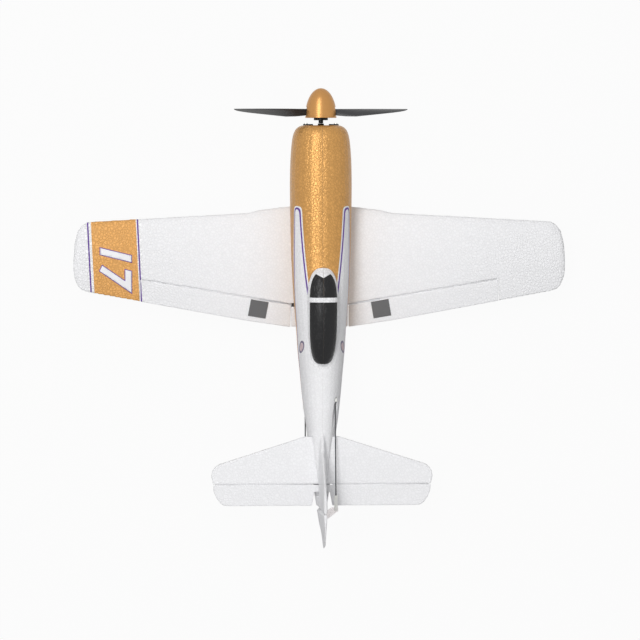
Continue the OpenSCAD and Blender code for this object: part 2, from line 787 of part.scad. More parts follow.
module spur_gear() {
    color("ivory")
        translate([0, nose(gear_s), thrust_z])
            rotate([90, 0, 0])
                difference() {
                    union() {
                        linear_extrude(gear_w)
                            rotate(-90)
                                spur_teeth_outline(spur_teeth);
                        translate([0, 0, gear_w - 0.1])
                            cylinder(r = 3, h = 0.9);
                    }
                    translate([0, 0, -1])
                        cylinder(r = shaft_d / 2, h = gear_w + 3);
                    for (i = [0:4])
                        rotate(36 + 72 * i)
                            translate([spur_r * 0.6, 0, -1])
                                cylinder(r = spur_r * 0.17, h = gear_w + 3);
                }
}

module prop_shaft() {
    color(steel)
        along(19, 24, shaft_d / 2, thrust_z);
}

module shaft_collar() {
    color(steel)
        along(mid_plate_s + mid_plate_thick + 0.3, 2, 2.3, thrust_z, 0, shaft_d / 2);
}

// ---------------------------------------------------------------- propeller and spinner

prop_s = spinner_len - 6;
prop_hub_r = 6;
stud_r = 2;
spinner_wall = 0.9;

module prop_adapter() {
    color(black)
        difference() {
            union() {
                along(spinner_len + 1.4, 1.9, 5.7, thrust_z);
                along(spinner_len + 1.4, 4.4, 1.9, thrust_z);
                along(prop_s - 3.6, spinner_len + 5.2 - prop_s, stud_r, thrust_z);
            }
            along(19, 20, shaft_d / 2, thrust_z);
        }
}

function blade_chord(r) = lookup(r, [[5, 5.5], [9, 5.9], [12.6, 6.5], [20, 9], [28, 11.4], [40, 12],
    [50, 11.5], [58, 10.2], [64, 8.2], [68, 5.6], [70, 2.4]]);
function blade_ring(r, tip_r) = let (
        c = blade_chord(r * 70 / tip_r), a = atan(prop_pitch / (2 * PI * r)),
        t = c * lookup(r, [[5, 0.26], [20, 0.17], [60, 0.09], [70, 0.08]]))
    [for (k = [0:15]) let (
            v = 360 * k / 16,
            u = c / 2 * cos(v),
            w = t / 2 * sin(v) * (sin(v) > 0 ? 1.15 : 0.7) + t * 0.25 * (1 - pow(cos(v), 2)),
            lead = c / 2 * sin(a))
        [r, u * sin(a) + w * cos(a) - lead - 0.2, -u * cos(a) + w * sin(a)]];

module blade() {
    tip_r = prop_d / 2;
    skin([for (r = [5, 9, 12.6, 20, 28, 40, 50, 58, 64, 68, 70]) blade_ring(r * tip_r / 70, tip_r)]);
}

module propeller() {
    color(black)
        difference() {
            moulded() {
                along(prop_s, 5.9, prop_hub_r, thrust_z, $fn = 32);
                for (half = [0, 180])
                    translate([0, nose(prop_s), thrust_z])
                        rotate([0, half, 0])
                            blade();
            }
            along(prop_s - 4, 14, stud_r, thrust_z);
        }
}

module prop_nut() {
    color(steel)
        difference() {
            translate([0, nose(prop_s - 3), thrust_z])
                rotate([90, 0, 0])
                    cylinder(r = 4, h = 3, $fn = 6);
            along(prop_s - 5, 8, stud_r, thrust_z);
        }
}

module spinner_backplate() {
    color(gold)
        difference() {
            union() {
                along(spinner_len + 0.1, 1.3, spinner_d / 2, thrust_z);
                along(spinner_len - 0.9, 1.1, spinner_d / 2 - spinner_wall - 0.1, thrust_z);
            }
            along(spinner_len - 3, 6, stud_r, thrust_z);
            along(spinner_len - 2, 2.2, prop_hub_r + 0.1, thrust_z);
            block(spinner_len - 3, spinner_len + 0.1, -spinner_d, spinner_d, thrust_z - 4.4, thrust_z + 4.4);
        }
}

function spinner_r(s, wall) = let (t = max(0, s - wall) / (spinner_len - wall))
    (spinner_d / 2 - wall) * sqrt(1 - pow(1 - t, 2.05));

module spinner_outline(wall) {
    steps = 18;
    polygon(concat([[0, -spinner_len]],
        [for (k = [steps:-1:0]) let (t = pow(k / steps, 1.7), s = wall + (spinner_len - wall) * t)
            [spinner_r(s, wall), -s]]));
}

module spinner() {
    color(gold)
        translate([0, nose(0), thrust_z])
            rotate([-90, 0, 0])
                difference() {
                    rotate_extrude()
                        spinner_outline(0);
                    translate([0, 0, -0.01])
                        rotate_extrude()
                            spinner_outline(spinner_wall);
                    for (half = [0, 180])
                        rotate([0, 0, half])
                            translate([4, -4.3, -spinner_len - 1])
                                cube([20, 8.6, 8.4]);
                }
}

// ---------------------------------------------------------------- power and radio

module battery() {
    color("lightsteelblue")
        difference() {
            block(battery_s, battery_s + battery_len, -battery_w / 2, battery_w / 2,
                battery_z, battery_z + battery_h);
            for (side = [-1, 1])
                block(battery_s + battery_len - 2, battery_s + battery_len + 1, side * battery_w / 2 - 1.6,
                    side * battery_w / 2 + 1.6, battery_z - 1, battery_z + battery_h + 1);
        }
}

module battery_pad() {
    color("dimgray")
        block(battery_s + 8, battery_s + battery_len - 5, -battery_w / 2 + 2, battery_w / 2 - 2,
            battery_z + battery_h, battery_z + battery_h + pad_thick);
}

module battery_hatch() {
    color(gold)
        moulded()
            difference() {
                intersection() {
                    body_form();
                    block(hatch_s, hatch_end, -hatch_half, hatch_half, -2, hatch_top);
                }
                for (s = magnet_s)
                    translate([0, nose(s), hatch_top - magnet_h])
                        cylinder(r = magnet_r + glue_gap, h = magnet_h + 1, $fn = 16);
            }
}

module hatch_magnets() {
    color(steel)
        for (s = magnet_s)
            translate([0, nose(s), hatch_top - magnet_h])
                cylinder(r = magnet_r, h = magnet_h);
}

module bay_magnets() {
    color(steel)
        for (s = magnet_s)
            translate([0, nose(s), hatch_top + 0.35])
                cylinder(r = magnet_r, h = magnet_h);
}

belly_screw_at = [for (s = [belly_s + 4, belly_end - 4]) for (x = [-11.2, 11.2]) [x, s]];

module belly_cover() {
    color(gold)
        difference() {
            translate([0, nose(belly_end), 0])
                rotate([90, 0, 180])
                    linear_extrude(belly_end - belly_s)
                        belly_outline();
            block(belly_s + 8, belly_end - 8, -belly_foot, belly_foot, 1.6, belly_top + 1);
            for (p = belly_screw_at)
                translate([p[0], nose(p[1]), -1]) {
                    cylinder(r = 0.75, h = 12);
                    cylinder(r = 1.7, h = 4.2);
                }
        }
}

module belly_cover_screws() {
    color(steel)
        for (p = belly_screw_at)
            translate([p[0], nose(p[1]), 3.2])
                difference() {
                    union() {
                        translate([0, 0, -0.9])
                            cylinder(r = 1.4, h = 0.9);
                        cylinder(r = screw_r, h = belly_top - 3.2);
                    }
                    translate([-1, -0.2, -1.2])
                        cube([2, 0.4, 0.7]);
                }
}

module board_pad() {
    color("white")
        block(board_s + 3, board_s + board_len - 4, -board_w / 2 + 2, board_w / 2 - 2, shelf_z, board_z);
}

module receiver_board() {
    color("darkgreen")
        block(board_s, board_s + board_len, -board_w / 2, board_w / 2, board_z, board_z + board_thick);
}

module board_components() {
    top = board_z + board_thick;
    color(black) {
        block(board_s + 12, board_s + 19, -3.5, 3.5, top, top + 1);
        block(board_s + 22, board_s + 27, 2, 7, top, top + 0.9);
        block(board_s + 4, board_s + 8, -9, -5, top, top + 1.6);
        block(board_s + 22, board_s + 24, -8.4, -3.4, top, top + 1.2);
    }
    color("ivory") {
        block(board_s + 0.6, board_s + 5, -1, 7.2, top, top + 3.6);
        for (x = [-8.4, -2.4, 3.6])
            block(board_s + board_len - 5, board_s + board_len - 0.6, x, x + 4.8, top, top + 3.4);
    }
}

// ---------------------------------------------------------------- servos

// Servo case lying with its output on z = 0, the output axis at the origin and the case running to -y
module servo_case() {
    difference() {
        union() {
            translate([-servo_w / 2, 4 - servo_len, -servo_h])
                cube([servo_w, servo_len, servo_h - 1]);
            translate([0, 0, -1.1])
                cylinder(r = servo_w / 2 - 0.2, h = 0.8);
            cylinder(r = 1.6, h = 0.2);
            translate([0, 0, -0.4])
                cylinder(r = 1.1, h = 1.5);
        }
        for (z = [-4.2, -servo_h + 2.6])
            difference() {
                translate([-servo_w, 3 - servo_len, z])
                    cube([servo_w * 2, servo_len + 4, 0.3]);
                translate([-servo_w / 2 + 0.25, 4.25 - servo_len, z - 1])
                    cube([servo_w - 0.5, servo_len - 0.5, 3]);
            }
    }
}

// Tapered single arm along +x from the output to a pin hole at reach
module servo_arm(reach) {
    difference() {
        union() {
            cylinder(r = 2.3, h = arm_thick);
            linear_extrude(arm_thick)
                polygon([[0, -2], [reach, -1.2], [reach, 1.2], [0, 2]]);
            translate([reach, 0, 0])
                cylinder(r = 1.2, h = arm_thick);
        }
        translate([0, 0, -1])
            cylinder(r = 1.15, h = arm_thick + 2);
        translate([reach, 0, -1])
            cylinder(r = pin_r + 0.05, h = arm_thick + 2);
        for (x = [reach * 0.5, reach * 0.72])
            translate([x, 0, -1])
                cylinder(r = 0.35, h = arm_thick + 2);
    }
}

module on_aileron_servo() {
    translate([0, nose(aileron_axis_s), aileron_arm_z - 0.4])
        rotate([0, 0, 180])
            children();
}

module on_elevator_servo() {
    translate([elevator_arm_x + arm_thick + 0.4, nose(elevator_servo_s), elevator_servo_z])
        rotate([0, -90, 0])
            rotate([0, 0, 180])
                children();
}

module on_rudder_servo() {
    translate([0, nose(rudder_servo_s), rudder_arm_z - 0.4])
        children();
}

module aileron_servo() {
    color("dimgray")
        on_aileron_servo()
            servo_case();
}

module elevator_servo() {
    color("dimgray")
        on_elevator_servo()
            servo_case();
}

module rudder_servo() {
    color("dimgray")
        on_rudder_servo()
            servo_case();
}

module aileron_servo_arm() {
    color("white")
        translate([0, nose(aileron_axis_s), aileron_arm_z])
            difference() {
                union() {
                    cylinder(r = 2.6, h = arm_thick);
                    for (half = [0, 180])
                        rotate(half)
                            translate([0, -2.3, 0])
                                cube([aileron_arm_r, 4.6, arm_thick]);
                }
                translate([0, 0, -1])
                    cylinder(r = 1.15, h = arm_thick + 2);
                for (half = [0, 180])
                    rotate(half)
                        translate([rod_in_x - 2.4, -slot_w / 2, -1])
                            cube([4, slot_w, arm_thick + 2]);
            }
}

module elevator_servo_arm() {
    color("white")
        translate([elevator_arm_x + arm_thick, nose(elevator_servo_s), elevator_servo_z])
            rotate([0, 90, 0])
                translate([0, 0, -arm_thick])
                    servo_arm(elevator_arm);
}

module rudder_servo_arm() {
    color("white")
        translate([0, nose(rudder_servo_s), rudder_arm_z])
            servo_arm(rudder_arm);
}

module arm_screw() {
    color(steel)
        difference() {
            cylinder(r = 1.7, h = 0.7);
            translate([-0.2, -1.2, 0.35])
                cube([0.4, 2.4, 1]);
            translate([-1.2, -0.2, 0.35])
                cube([2.4, 0.4, 1]);
        }
}

module aileron_arm_screw() {
    translate([0, nose(aileron_axis_s), aileron_arm_z + arm_thick])
        arm_screw();
}

module elevator_arm_screw() {
    translate([elevator_arm_x, nose(elevator_servo_s), elevator_servo_z])
        rotate([0, -90, 0])
            arm_screw();
}

module rudder_arm_screw() {
    translate([0, nose(rudder_servo_s), rudder_arm_z + arm_thick])
        arm_screw();
}

// ---------------------------------------------------------------- aileron drive

module torque_rod(side) {
    color(steel)
        at_hinge(side) {
            translate([rod_inner, 0, 0])
                rotate([0, 90, 0])
                    cylinder(r = wire_r, h = rod_outer - rod_inner);
            translate([rod_inner, 0, 0])
                cylinder(r = wire_r, h = aileron_arm_z + 4.6 - hinge_in_z);
            translate([rod_inner, 0, 0])
                sphere(r = wire_r);
            translate([rod_outer, 0, 0])
                sphere(r = wire_r);
            translate([rod_outer, 0, 0])
                rotate([90 + leg_drop, 0, 0])
                    cylinder(r = wire_r, h = rod_leg);
        }
}

module torque_rod_left() {
    torque_rod(-1);
}

module torque_rod_right() {
    torque_rod(1);
}

module torque_rod_sleeves() {
    color(black)
        for (side = [-1, 1])
            at_hinge(side)
                translate([sleeve_from, 0, 0])
                    rotate([0, 90, 0])
                        difference() {
                            cylinder(r = sleeve_r, h = sleeve_to - sleeve_from);
                            translate([0, 0, -1])
                                cylinder(r = wire_r + run_gap, h = sleeve_to - sleeve_from + 2);
                        }
}

// Patch that follows the aileron's top skin
module rod_patch(side) {
    color("dimgray")
        moulded()
            difference() {
                intersection() {
                    translate([0, 0, patch_thick])
                        wing_form();
                    at_hinge(side)
                        translate([rod_outer - patch_w / 2, -patch_h - 1, -3])
                            cube([patch_w, patch_h, 9]);
                }
                wing_form(0.02);
            }
}

module rod_patch_left() {
    rod_patch(-1);
}

module rod_patch_right() {
    rod_patch(1);
}

// ---------------------------------------------------------------- tail drive

module elevator_horn() {
    y = tail(elevator_hinge_t);
    color("ivory")
        difference() {
            union() {
                translate([horn_x - horn_thick / 2, 0, 0])
                    bar_x(0, horn_thick, [[y - 8.6, stab_z - 0.6], [y - 3.2, stab_z - 0.6],
                        [y + 1.6, elevator_hole_z + 0.8], [y + 1.2, elevator_hole_z - 1.2],
                        [y - 1.4, elevator_hole_z - 1.2]]);
                translate([horn_x - 3, y - 9.4, stab_z - 0.8])
                    cube([6, 6.8, 0.7]);
            }
            translate([horn_x - 3, y, elevator_hole_z])
                rotate([0, 90, 0])
                    cylinder(r = pin_r + 0.05, h = 6);
        }
}

module rudder_horn() {
    y = tail(rudder_hinge_t);
    color("ivory")
        translate([0, 0, rudder_horn_z - horn_thick / 2])
            difference() {
                linear_extrude(horn_thick)
                    polygon([[0.4, y - horn_root], [0.4, y - 2.6], [rudder_arm - 3, y + 1.5],
                        [rudder_arm + 1.6, y + 1.6], [rudder_arm + 1.8, y - 1.5], [4, y - horn_root]]);
                translate([rudder_arm, y, -1])
                    cylinder(r = pin_r + 0.05, h = horn_thick + 2);
            }
}

// Clevis with its pin at the origin, its prongs above and below the horn, and its body forwards along y
module clevis() {
    gap = horn_thick + 2 * clevis_gap;
    wide = 2.6;
    for (end = [0, 1])
        mirror([0, 0, end])
            translate([-wide / 2, -1.4, gap / 2])
                cube([wide, 6, clevis_prong]);
    difference() {
        translate([-wide / 2, 4.2, -gap / 2 - clevis_prong])
            cube([wide, clevis_len - 4.2, gap + 2 * clevis_prong]);
        translate([0, clevis_len + 1, 0])
            rotate([90, 0, 0])
                cylinder(r = rod_r + 0.02, h = 5);
    }
    translate([0, 0, -gap / 2 - clevis_prong])
        cylinder(r = pin_r, h = gap + 2 * clevis_prong);
}

module elevator_clevis() {
    color("white")
        translate([horn_x, tail(elevator_hinge_t), elevator_hole_z])
            rotate([0, 90, 0])
                clevis();
}

module rudder_clevis() {
    color("white")
        translate([rudder_arm, tail(rudder_hinge_t), rudder_horn_z])
            clevis();
}

module elevator_pushrod() {
    servo_end = [horn_x, nose(elevator_servo_s), elevator_servo_z - elevator_arm];
    horn_end = [horn_x, tail(elevator_hinge_t + clevis_len), elevator_hole_z];
    knee = horn_end + [0, 1, 0];
    color(steel) {
        rod(servo_end, knee, rod_r);
        rod(knee, horn_end - [0, 2.6, 0], rod_r);
        for (bend = [knee, servo_end])
            translate(bend)
                sphere(r = rod_r + 0.03);
        rod(servo_end, servo_end + [wire_r + 0.3 + arm_thick + 0.3, 0, 0], pin_r);
    }
}

module rudder_pushrod() {
    servo_end = [rudder_arm, nose(rudder_servo_s), rudder_rod_z];
    horn_end = [rudder_arm, tail(rudder_hinge_t + clevis_len), rudder_horn_z];
    knee = horn_end + [0, 1, 0];
    color(steel) {
        rod(servo_end, knee, rod_r);
        rod(knee, horn_end - [0, 2.6, 0], rod_r);
        for (bend = [knee, servo_end])
            translate(bend)
                sphere(r = rod_r + 0.03);
        rod(servo_end, servo_end - [0, 0, wire_r + 0.3 + arm_thick + 0.3], pin_r);
    }
}

// Eyelet frame around a pushrod where it leaves the foam
module eyelet(s, x, z, half_x, half_z) {
    difference() {
        block(s, s + guide_len, x - half_x - guide_wall, x + half_x + guide_wall,
            z - half_z - guide_wall, z + half_z + guide_wall);
        block(s - 1, s + guide_len + 1, x - half_x, x + half_x, z - half_z, z + half_z);
    }
}

module pushrod_guides() {
    color(black) {
        eyelet(rudder_guide_s, rudder_arm - 0.5, rudder_guide_z, 1.4, 1.8);
        eyelet(elevator_guide_s, horn_x, elevator_guide_z, 1, 1.5);
    }
}

// ---------------------------------------------------------------- wiring

module motor_leads() {
    color("red")
        wire([[2.6, nose(61.9), motor_z], [3.4, nose(66), 20.4], [4, nose(80), 21.6], [3.6, nose(98), 22],
            [4.4, nose(104), 22], [4, nose(107.9), 20.8]], 0.55);
    color("blue")
        wire([[-2.6, nose(61.9), motor_z], [-1, nose(66), 20.2], [0, nose(80), 20.8], [1.2, nose(98), 21.4],
            [1.6, nose(104), 21.4], [2, nose(107.9), 20.8]], 0.55);
}

module battery_lead() {
    color("red")
        wire([[2.4, nose(97.75), 8.6], [2.4, nose(97.8), 14], [1.6, nose(97.8), 18.6],
            [-1.6, nose(98.3), 20.8]], 0.55, [0, 1, 0]);
    color("black")
        wire([[-2.4, nose(97.75), 8.6], [-2.4, nose(97.8), 14], [-3.2, nose(97.8), 18],
            [-4, nose(98.4), 20.6]], 0.55, [0, 1, 0]);
}

module battery_plug() {
    color("white")
        block(99.2, 106, -5.2, -0.6, 18.8, 22.6);
}

module servo_leads() {
    color("sienna")
        wire([[-6, nose(144.2), 20.4], [-7, nose(150), 21], [-6.4, nose(157), 20.4],
            [-3.4, nose(aileron_servo_front - 0.3), 18]], 0.6);
    color("orange")
        wire([[0, nose(144.2), 20.4], [0, nose(152), 26], [-1, nose(170), 32], [-1.5, nose(190), 38],
            [-2, nose(elevator_servo_s - servo_len + 3.6), 41.5]], 0.6);
    color("gold")
        wire([[6, nose(144.2), 20.4], [6, nose(152), 25], [6.2, nose(170), 32], [5.4, nose(190), 38],
            [5.4, nose(221), 39], [2.6, nose(226.9), 39]], 0.6);
}

fuselage_left();
fuselage_right();
wing();
wing_spars();
stabilizer();
gearbox_frame();
mount_screws();
shaft_bushes();
motor_can();
motor_end_cap();
motor_shaft();
motor_rotor();
pinion();
prop_shaft();
spur_gear();
shaft_collar();
prop_adapter();
propeller();
prop_nut();
spinner_backplate();
spinner();
battery();
battery_pad();
battery_hatch();
hatch_magnets();
bay_magnets();
belly_cover();
belly_cover_screws();
receiver_board();
board_components();
board_pad();
aileron_servo();
aileron_servo_arm();
elevator_servo();
elevator_servo_arm();
rudder_servo();
rudder_servo_arm();
aileron_arm_screw();
elevator_arm_screw();
rudder_arm_screw();
aileron_left();
aileron_right();
torque_rod_left();
torque_rod_right();
torque_rod_sleeves();
rod_patch_left();
rod_patch_right();
elevator();
elevator_horn();
rudder();
rudder_horn();
elevator_pushrod();
elevator_clevis();
rudder_pushrod();
rudder_clevis();
pushrod_guides();
motor_leads();
battery_lead();
battery_plug();
servo_leads();
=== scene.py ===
# %% [markdown]
# # A foam warbird
# A small electric fighter is moulded from expanded polypropylene beads. The CAD model already holds every
# piece at its real size, so this script only gives them their finished skins, paint, light and camera.

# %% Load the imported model
import json
import math
import bmesh
import bpy
from mathutils import Matrix, Vector
from mathutils.bvhtree import BVHTree


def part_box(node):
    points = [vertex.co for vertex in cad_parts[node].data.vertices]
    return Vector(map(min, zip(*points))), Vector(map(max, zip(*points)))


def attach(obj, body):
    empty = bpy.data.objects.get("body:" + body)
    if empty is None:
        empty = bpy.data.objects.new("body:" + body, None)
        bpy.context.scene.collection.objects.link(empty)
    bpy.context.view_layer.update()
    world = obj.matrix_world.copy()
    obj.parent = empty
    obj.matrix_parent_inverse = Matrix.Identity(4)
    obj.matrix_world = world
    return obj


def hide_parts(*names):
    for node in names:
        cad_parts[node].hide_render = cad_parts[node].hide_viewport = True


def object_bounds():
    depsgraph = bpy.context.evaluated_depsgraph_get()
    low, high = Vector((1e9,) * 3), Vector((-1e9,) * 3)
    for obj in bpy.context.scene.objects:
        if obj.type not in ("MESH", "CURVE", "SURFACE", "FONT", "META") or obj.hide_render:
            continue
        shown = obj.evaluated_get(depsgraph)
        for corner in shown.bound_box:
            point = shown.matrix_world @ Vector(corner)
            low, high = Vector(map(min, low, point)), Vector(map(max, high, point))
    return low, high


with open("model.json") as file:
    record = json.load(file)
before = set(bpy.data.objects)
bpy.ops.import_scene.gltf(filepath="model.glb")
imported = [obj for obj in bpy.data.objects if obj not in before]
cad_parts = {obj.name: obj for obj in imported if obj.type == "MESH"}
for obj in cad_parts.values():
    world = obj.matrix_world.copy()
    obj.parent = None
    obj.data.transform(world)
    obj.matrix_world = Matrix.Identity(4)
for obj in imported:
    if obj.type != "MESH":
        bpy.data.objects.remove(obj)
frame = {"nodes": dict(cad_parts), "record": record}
cad_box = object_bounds()
low, high = (Vector(corner) for corner in cad_box)
MM = 0.001
nose_y = high.y
print("model", [round(extent / MM, 1) for extent in high - low], "mm")

# %% [markdown]
# ## The view
# The model is seen from straight above with a long lens. The camera stands a little to the left wing's side
# and ahead of the middle, so that a sliver of the left side shows and the propeller stays edge on. One aim
# point and one distance are easier to tune than free angles.

# %% Camera
CAMERA_AT = Vector((-0.144, 0.127, 2.49))
AIM_AT = Vector((0.0, -0.0038, 0.018))
LENS = 171.5
camera_data = bpy.data.cameras.new("overhead_camera")
camera_data.sensor_width = 36
camera_data.lens = LENS
camera = bpy.data.objects.new("overhead_camera", camera_data)
bpy.context.scene.collection.objects.link(camera)
back = (CAMERA_AT - AIM_AT).normalized()
right = Vector((0, 1, 0)).cross(back).normalized()
up = back.cross(right)
camera.matrix_world = Matrix.Translation(CAMERA_AT) @ Matrix((right, up, back)).transposed().to_4x4()
bpy.context.scene.camera = camera
bpy.context.scene.view_settings.view_transform = "Standard"
print("camera", round((CAMERA_AT - AIM_AT).length, 3), "m away with a lens of", LENS, "mm")

# %% [markdown]
# ## Nodes and colours
# Every finish is a small tree of shader nodes. One helper adds a node, sets its properties and links its
# sockets; another turns the hex colour of a paint chart into the linear light that the shader mixes.

# %% Helpers for finishes
def add(tree, kind, inputs=(), **settings):
    """Adds a node. Inputs are a list or a dict, and each is a number, a colour, a node or a socket."""
    made = tree.nodes.new(kind)
    for name, value in settings.items():
        setattr(made, name, value)
    pairs = inputs.items() if isinstance(inputs, dict) else enumerate(inputs)
    for socket, value in pairs:
        if isinstance(value, bpy.types.Node):
            value = value.outputs[0]
        if isinstance(value, bpy.types.NodeSocket):
            tree.links.new(value, made.inputs[socket])
        else:
            made.inputs[socket].default_value = value
    return made


def linear(hex_colour):
    """Linear colour of an sRGB hex value such as "E0AE6C"."""
    parts = [int(hex_colour[i:i + 2], 16) / 255 for i in (0, 2, 4)]
    return tuple(p / 12.92 if p <= 0.04045 else ((p + 0.055) / 1.055) ** 2.4 for p in parts) + (1.0,)


def start_finish(name):
    """An empty material: its tree, its shader and the coordinates that patterns follow."""
    material = bpy.data.materials.new(name)
    material.use_nodes = True
    tree = material.node_tree
    tree.nodes.clear()
    shader = add(tree, "ShaderNodeBsdfPrincipled")
    add(tree, "ShaderNodeOutputMaterial", {"Surface": shader.outputs["BSDF"]})
    place = add(tree, "ShaderNodeTexCoord").outputs["Object"]
    return material, tree, shader, place


def feed(tree, shader, **sockets):
    """Links or sets the shader's sockets."""
    for name, value in sockets.items():
        socket = shader.inputs[name.replace("_", " ")]
        if isinstance(value, bpy.types.Node):
            value = value.outputs[0]
        if isinstance(value, bpy.types.NodeSocket):
            tree.links.new(value, socket)
        else:
            socket.default_value = value


print("gold as light", [round(part, 3) for part in linear("CC9856")[:3]])

# %% [markdown]
# ## Bead foam
# Expanded polypropylene is steamed beads of 2 to 3 mm that fuse in the mould. Up close each bead is a small
# many-sided dome with a fine crease round it. A wrapped texture would stretch where the shape turns, and a
# Voronoi pattern in space doesn't: its distance to the nearest cell wall gives the crease, which is darkened
# as painted shade, and a random value for each cell gives the slight change of tone. The eye gets a soft
# white with a faint pebbling. The skin of each bead has pores under 0.1 mm, drawn at 0.35 mm to show.

# %% Foam skin
BEAD = 2.4 * MM
SKIN_GRAIN = 0.35 * MM
PAPER_WHITE = "F4F4F6"
FOAM_ROUGHNESS = 0.62


def bead_pattern(tree, place):
    """Crease mask, tone of each bead and height of the foam's skin."""
    wander = add(tree, "ShaderNodeTexNoise", {"Vector": place, "Scale": 0.5 / BEAD, "Detail": 2.0})
    shift = add(tree, "ShaderNodeVectorMath", [wander.outputs["Color"], (0.5, 0.5, 0.5)],
                operation="SUBTRACT")
    bent = add(tree, "ShaderNodeVectorMath", [shift, (BEAD, BEAD, BEAD), place], operation="MULTIPLY_ADD")
    walls = add(tree, "ShaderNodeTexVoronoi", {"Vector": bent, "Scale": 1 / BEAD},
                feature="DISTANCE_TO_EDGE")
    cells = add(tree, "ShaderNodeTexVoronoi", {"Vector": bent, "Scale": 1 / BEAD}, feature="F1")
    dome = add(tree, "ShaderNodeMapRange", [walls.outputs["Distance"], 0.0, 0.22, 0.0, 1.0],
               interpolation_type="SMOOTHSTEP")
    tone = add(tree, "ShaderNodeSeparateColor", [cells.outputs["Color"]])
    grain = add(tree, "ShaderNodeTexNoise", {"Vector": place, "Scale": 1 / SKIN_GRAIN, "Detail": 3.0})
    height = add(tree, "ShaderNodeMath", [grain.outputs["Fac"], 0.18, dome], operation="MULTIPLY_ADD")
    return dome, tone.outputs[0], height


def bead_foam(name, coats=None, crease_shade_depth=0.9, relief=0.16 * MM, rough_tips=False):
    """White bead foam under its coats, which give a mask, colour, roughness and metallic for each.

    With rough_tips the beads stand out more towards the wing tips, where less steam reaches them."""
    material, tree, shader, place = start_finish(name)
    dome, tone, height = bead_pattern(tree, place)
    lift = add(tree, "ShaderNodeMapRange", [tone, 0.0, 1.0, 0.975, 1.0])
    # painted shade: the bare foam is darkened by up to 5 % in the creases between the beads
    crease = add(tree, "ShaderNodeMapRange", [dome, 0.0, 1.0, 0.95, 1.0])
    shade = add(tree, "ShaderNodeMath", [lift, crease], operation="MULTIPLY")
    colour = add(tree, "ShaderNodeMix", {0: 1.0, 6: linear(PAPER_WHITE), 7: shade},
                 data_type="RGBA", blend_type="MULTIPLY").outputs[2]
    roughness = FOAM_ROUGHNESS
    metallic = 0.0
    for mask, paint, paint_rough, paint_metal in (coats(tree, place) if coats else ()):
        # painted shade: each coat is darkened in the creases between the beads
        paint_crease_shade = add(tree, "ShaderNodeMapRange", [dome, 0.0, 1.0, crease_shade_depth, 1.0])
        fleck = add(tree, "ShaderNodeMapRange", [tone, 0.0, 1.0, 0.95, 1.04])
        # painted shade in the creases, times a random tone for each bead
        depth = add(tree, "ShaderNodeMath", [paint_crease_shade, fleck], operation="MULTIPLY")
        laid = add(tree, "ShaderNodeMix", {0: 1.0, 6: linear(paint), 7: depth},
                   data_type="RGBA", blend_type="MULTIPLY").outputs[2]
        colour = add(tree, "ShaderNodeMix", {0: mask, 6: colour, 7: laid}, data_type="RGBA").outputs[2]
        roughness = add(tree, "ShaderNodeMix", {0: mask, 2: roughness, 3: paint_rough}).outputs[0]
        metallic = add(tree, "ShaderNodeMix", {0: mask, 2: metallic, 3: paint_metal}).outputs[0]
    if rough_tips:
        x = add(tree, "ShaderNodeSeparateXYZ", [place]).outputs[0]
        outward = add(tree, "ShaderNodeMath", [x], operation="ABSOLUTE")
        coarse = add(tree, "ShaderNodeMapRange", [outward, 60 * MM, 165 * MM, 0.25, 1.0])
        height = add(tree, "ShaderNodeMath", [height, coarse], operation="MULTIPLY")
    bump = add(tree, "ShaderNodeBump", {"Height": height, "Strength": 0.6, "Distance": relief})
    feed(tree, shader, Base_Color=colour, Roughness=roughness, Metallic=metallic, Normal=bump, IOR=1.49,
         Specular_IOR_Level=0.3)
    return material


# bare foam: matt white, faintly pebbled, with painted shade in the creases
white_foam = bead_foam("bead_foam_bare")
print("beads", round(BEAD / MM, 2), "mm wide with a skin grain of", round(SKIN_GRAIN / MM, 2), "mm")

# %% [markdown]
# ## The paint scheme
# Gold, purple and black are sprayed through masks on the bare foam. Decals made as thin sheets would lift at
# the hinges and double the faces, so the scheme is worked out from where a point is: its distance behind
# the spinner tip, its distance from the middle and its height. Painting by place also keeps both halves and
# the hatch in one scheme without any step between them.

# %% Paint and masks
GOLD = "CC9856"
PURPLE = "68409E"
PAINT_EDGE = 0.12 * MM
MATH = "ShaderNodeMath"


def above(tree, value, limit):
    """1 where the value is over the limit, with a soft edge as wide as a sprayed one."""
    return add(tree, "ShaderNodeMapRange", {0: value, 1: limit - PAINT_EDGE, 2: limit + PAINT_EDGE})


def within(tree, value, low_limit, high_limit):
    """1 between two limits, with the same soft edges."""
    inside = above(tree, value, low_limit)
    outside = above(tree, value, high_limit)
    return add(tree, MATH, [inside, outside], operation="SUBTRACT")


print("paint edges are", round(2 * PAINT_EDGE / MM, 2), "mm wide")

# %% [markdown]
# ## The white flash
# A white flash runs back over each shoulder from a round front, with a purple pin line just inside its edge.
# The edge has three sides: a curve on the shoulder, a nearly level line on the flank, and the front. How
# far a point lies inside each side is a short sum. The smallest of the three, taken softly, is its depth in
# the flash and rounds the corners. Gold is all that lies outside; the pin line is a narrow range of depths.

# %% Gold and pin line
SHOULDER_FROM = 97.4 * MM
SHOULDER_WIDTH = 16.4 * MM
FLANK_HEIGHT = 48.5 * MM
FLASH_FRONT = 94.6 * MM
FRONT_ROUND = 6.0 * MM
TOP_GOLD_END = 166 * MM
TAIL_WHITE_FROM = 279 * MM


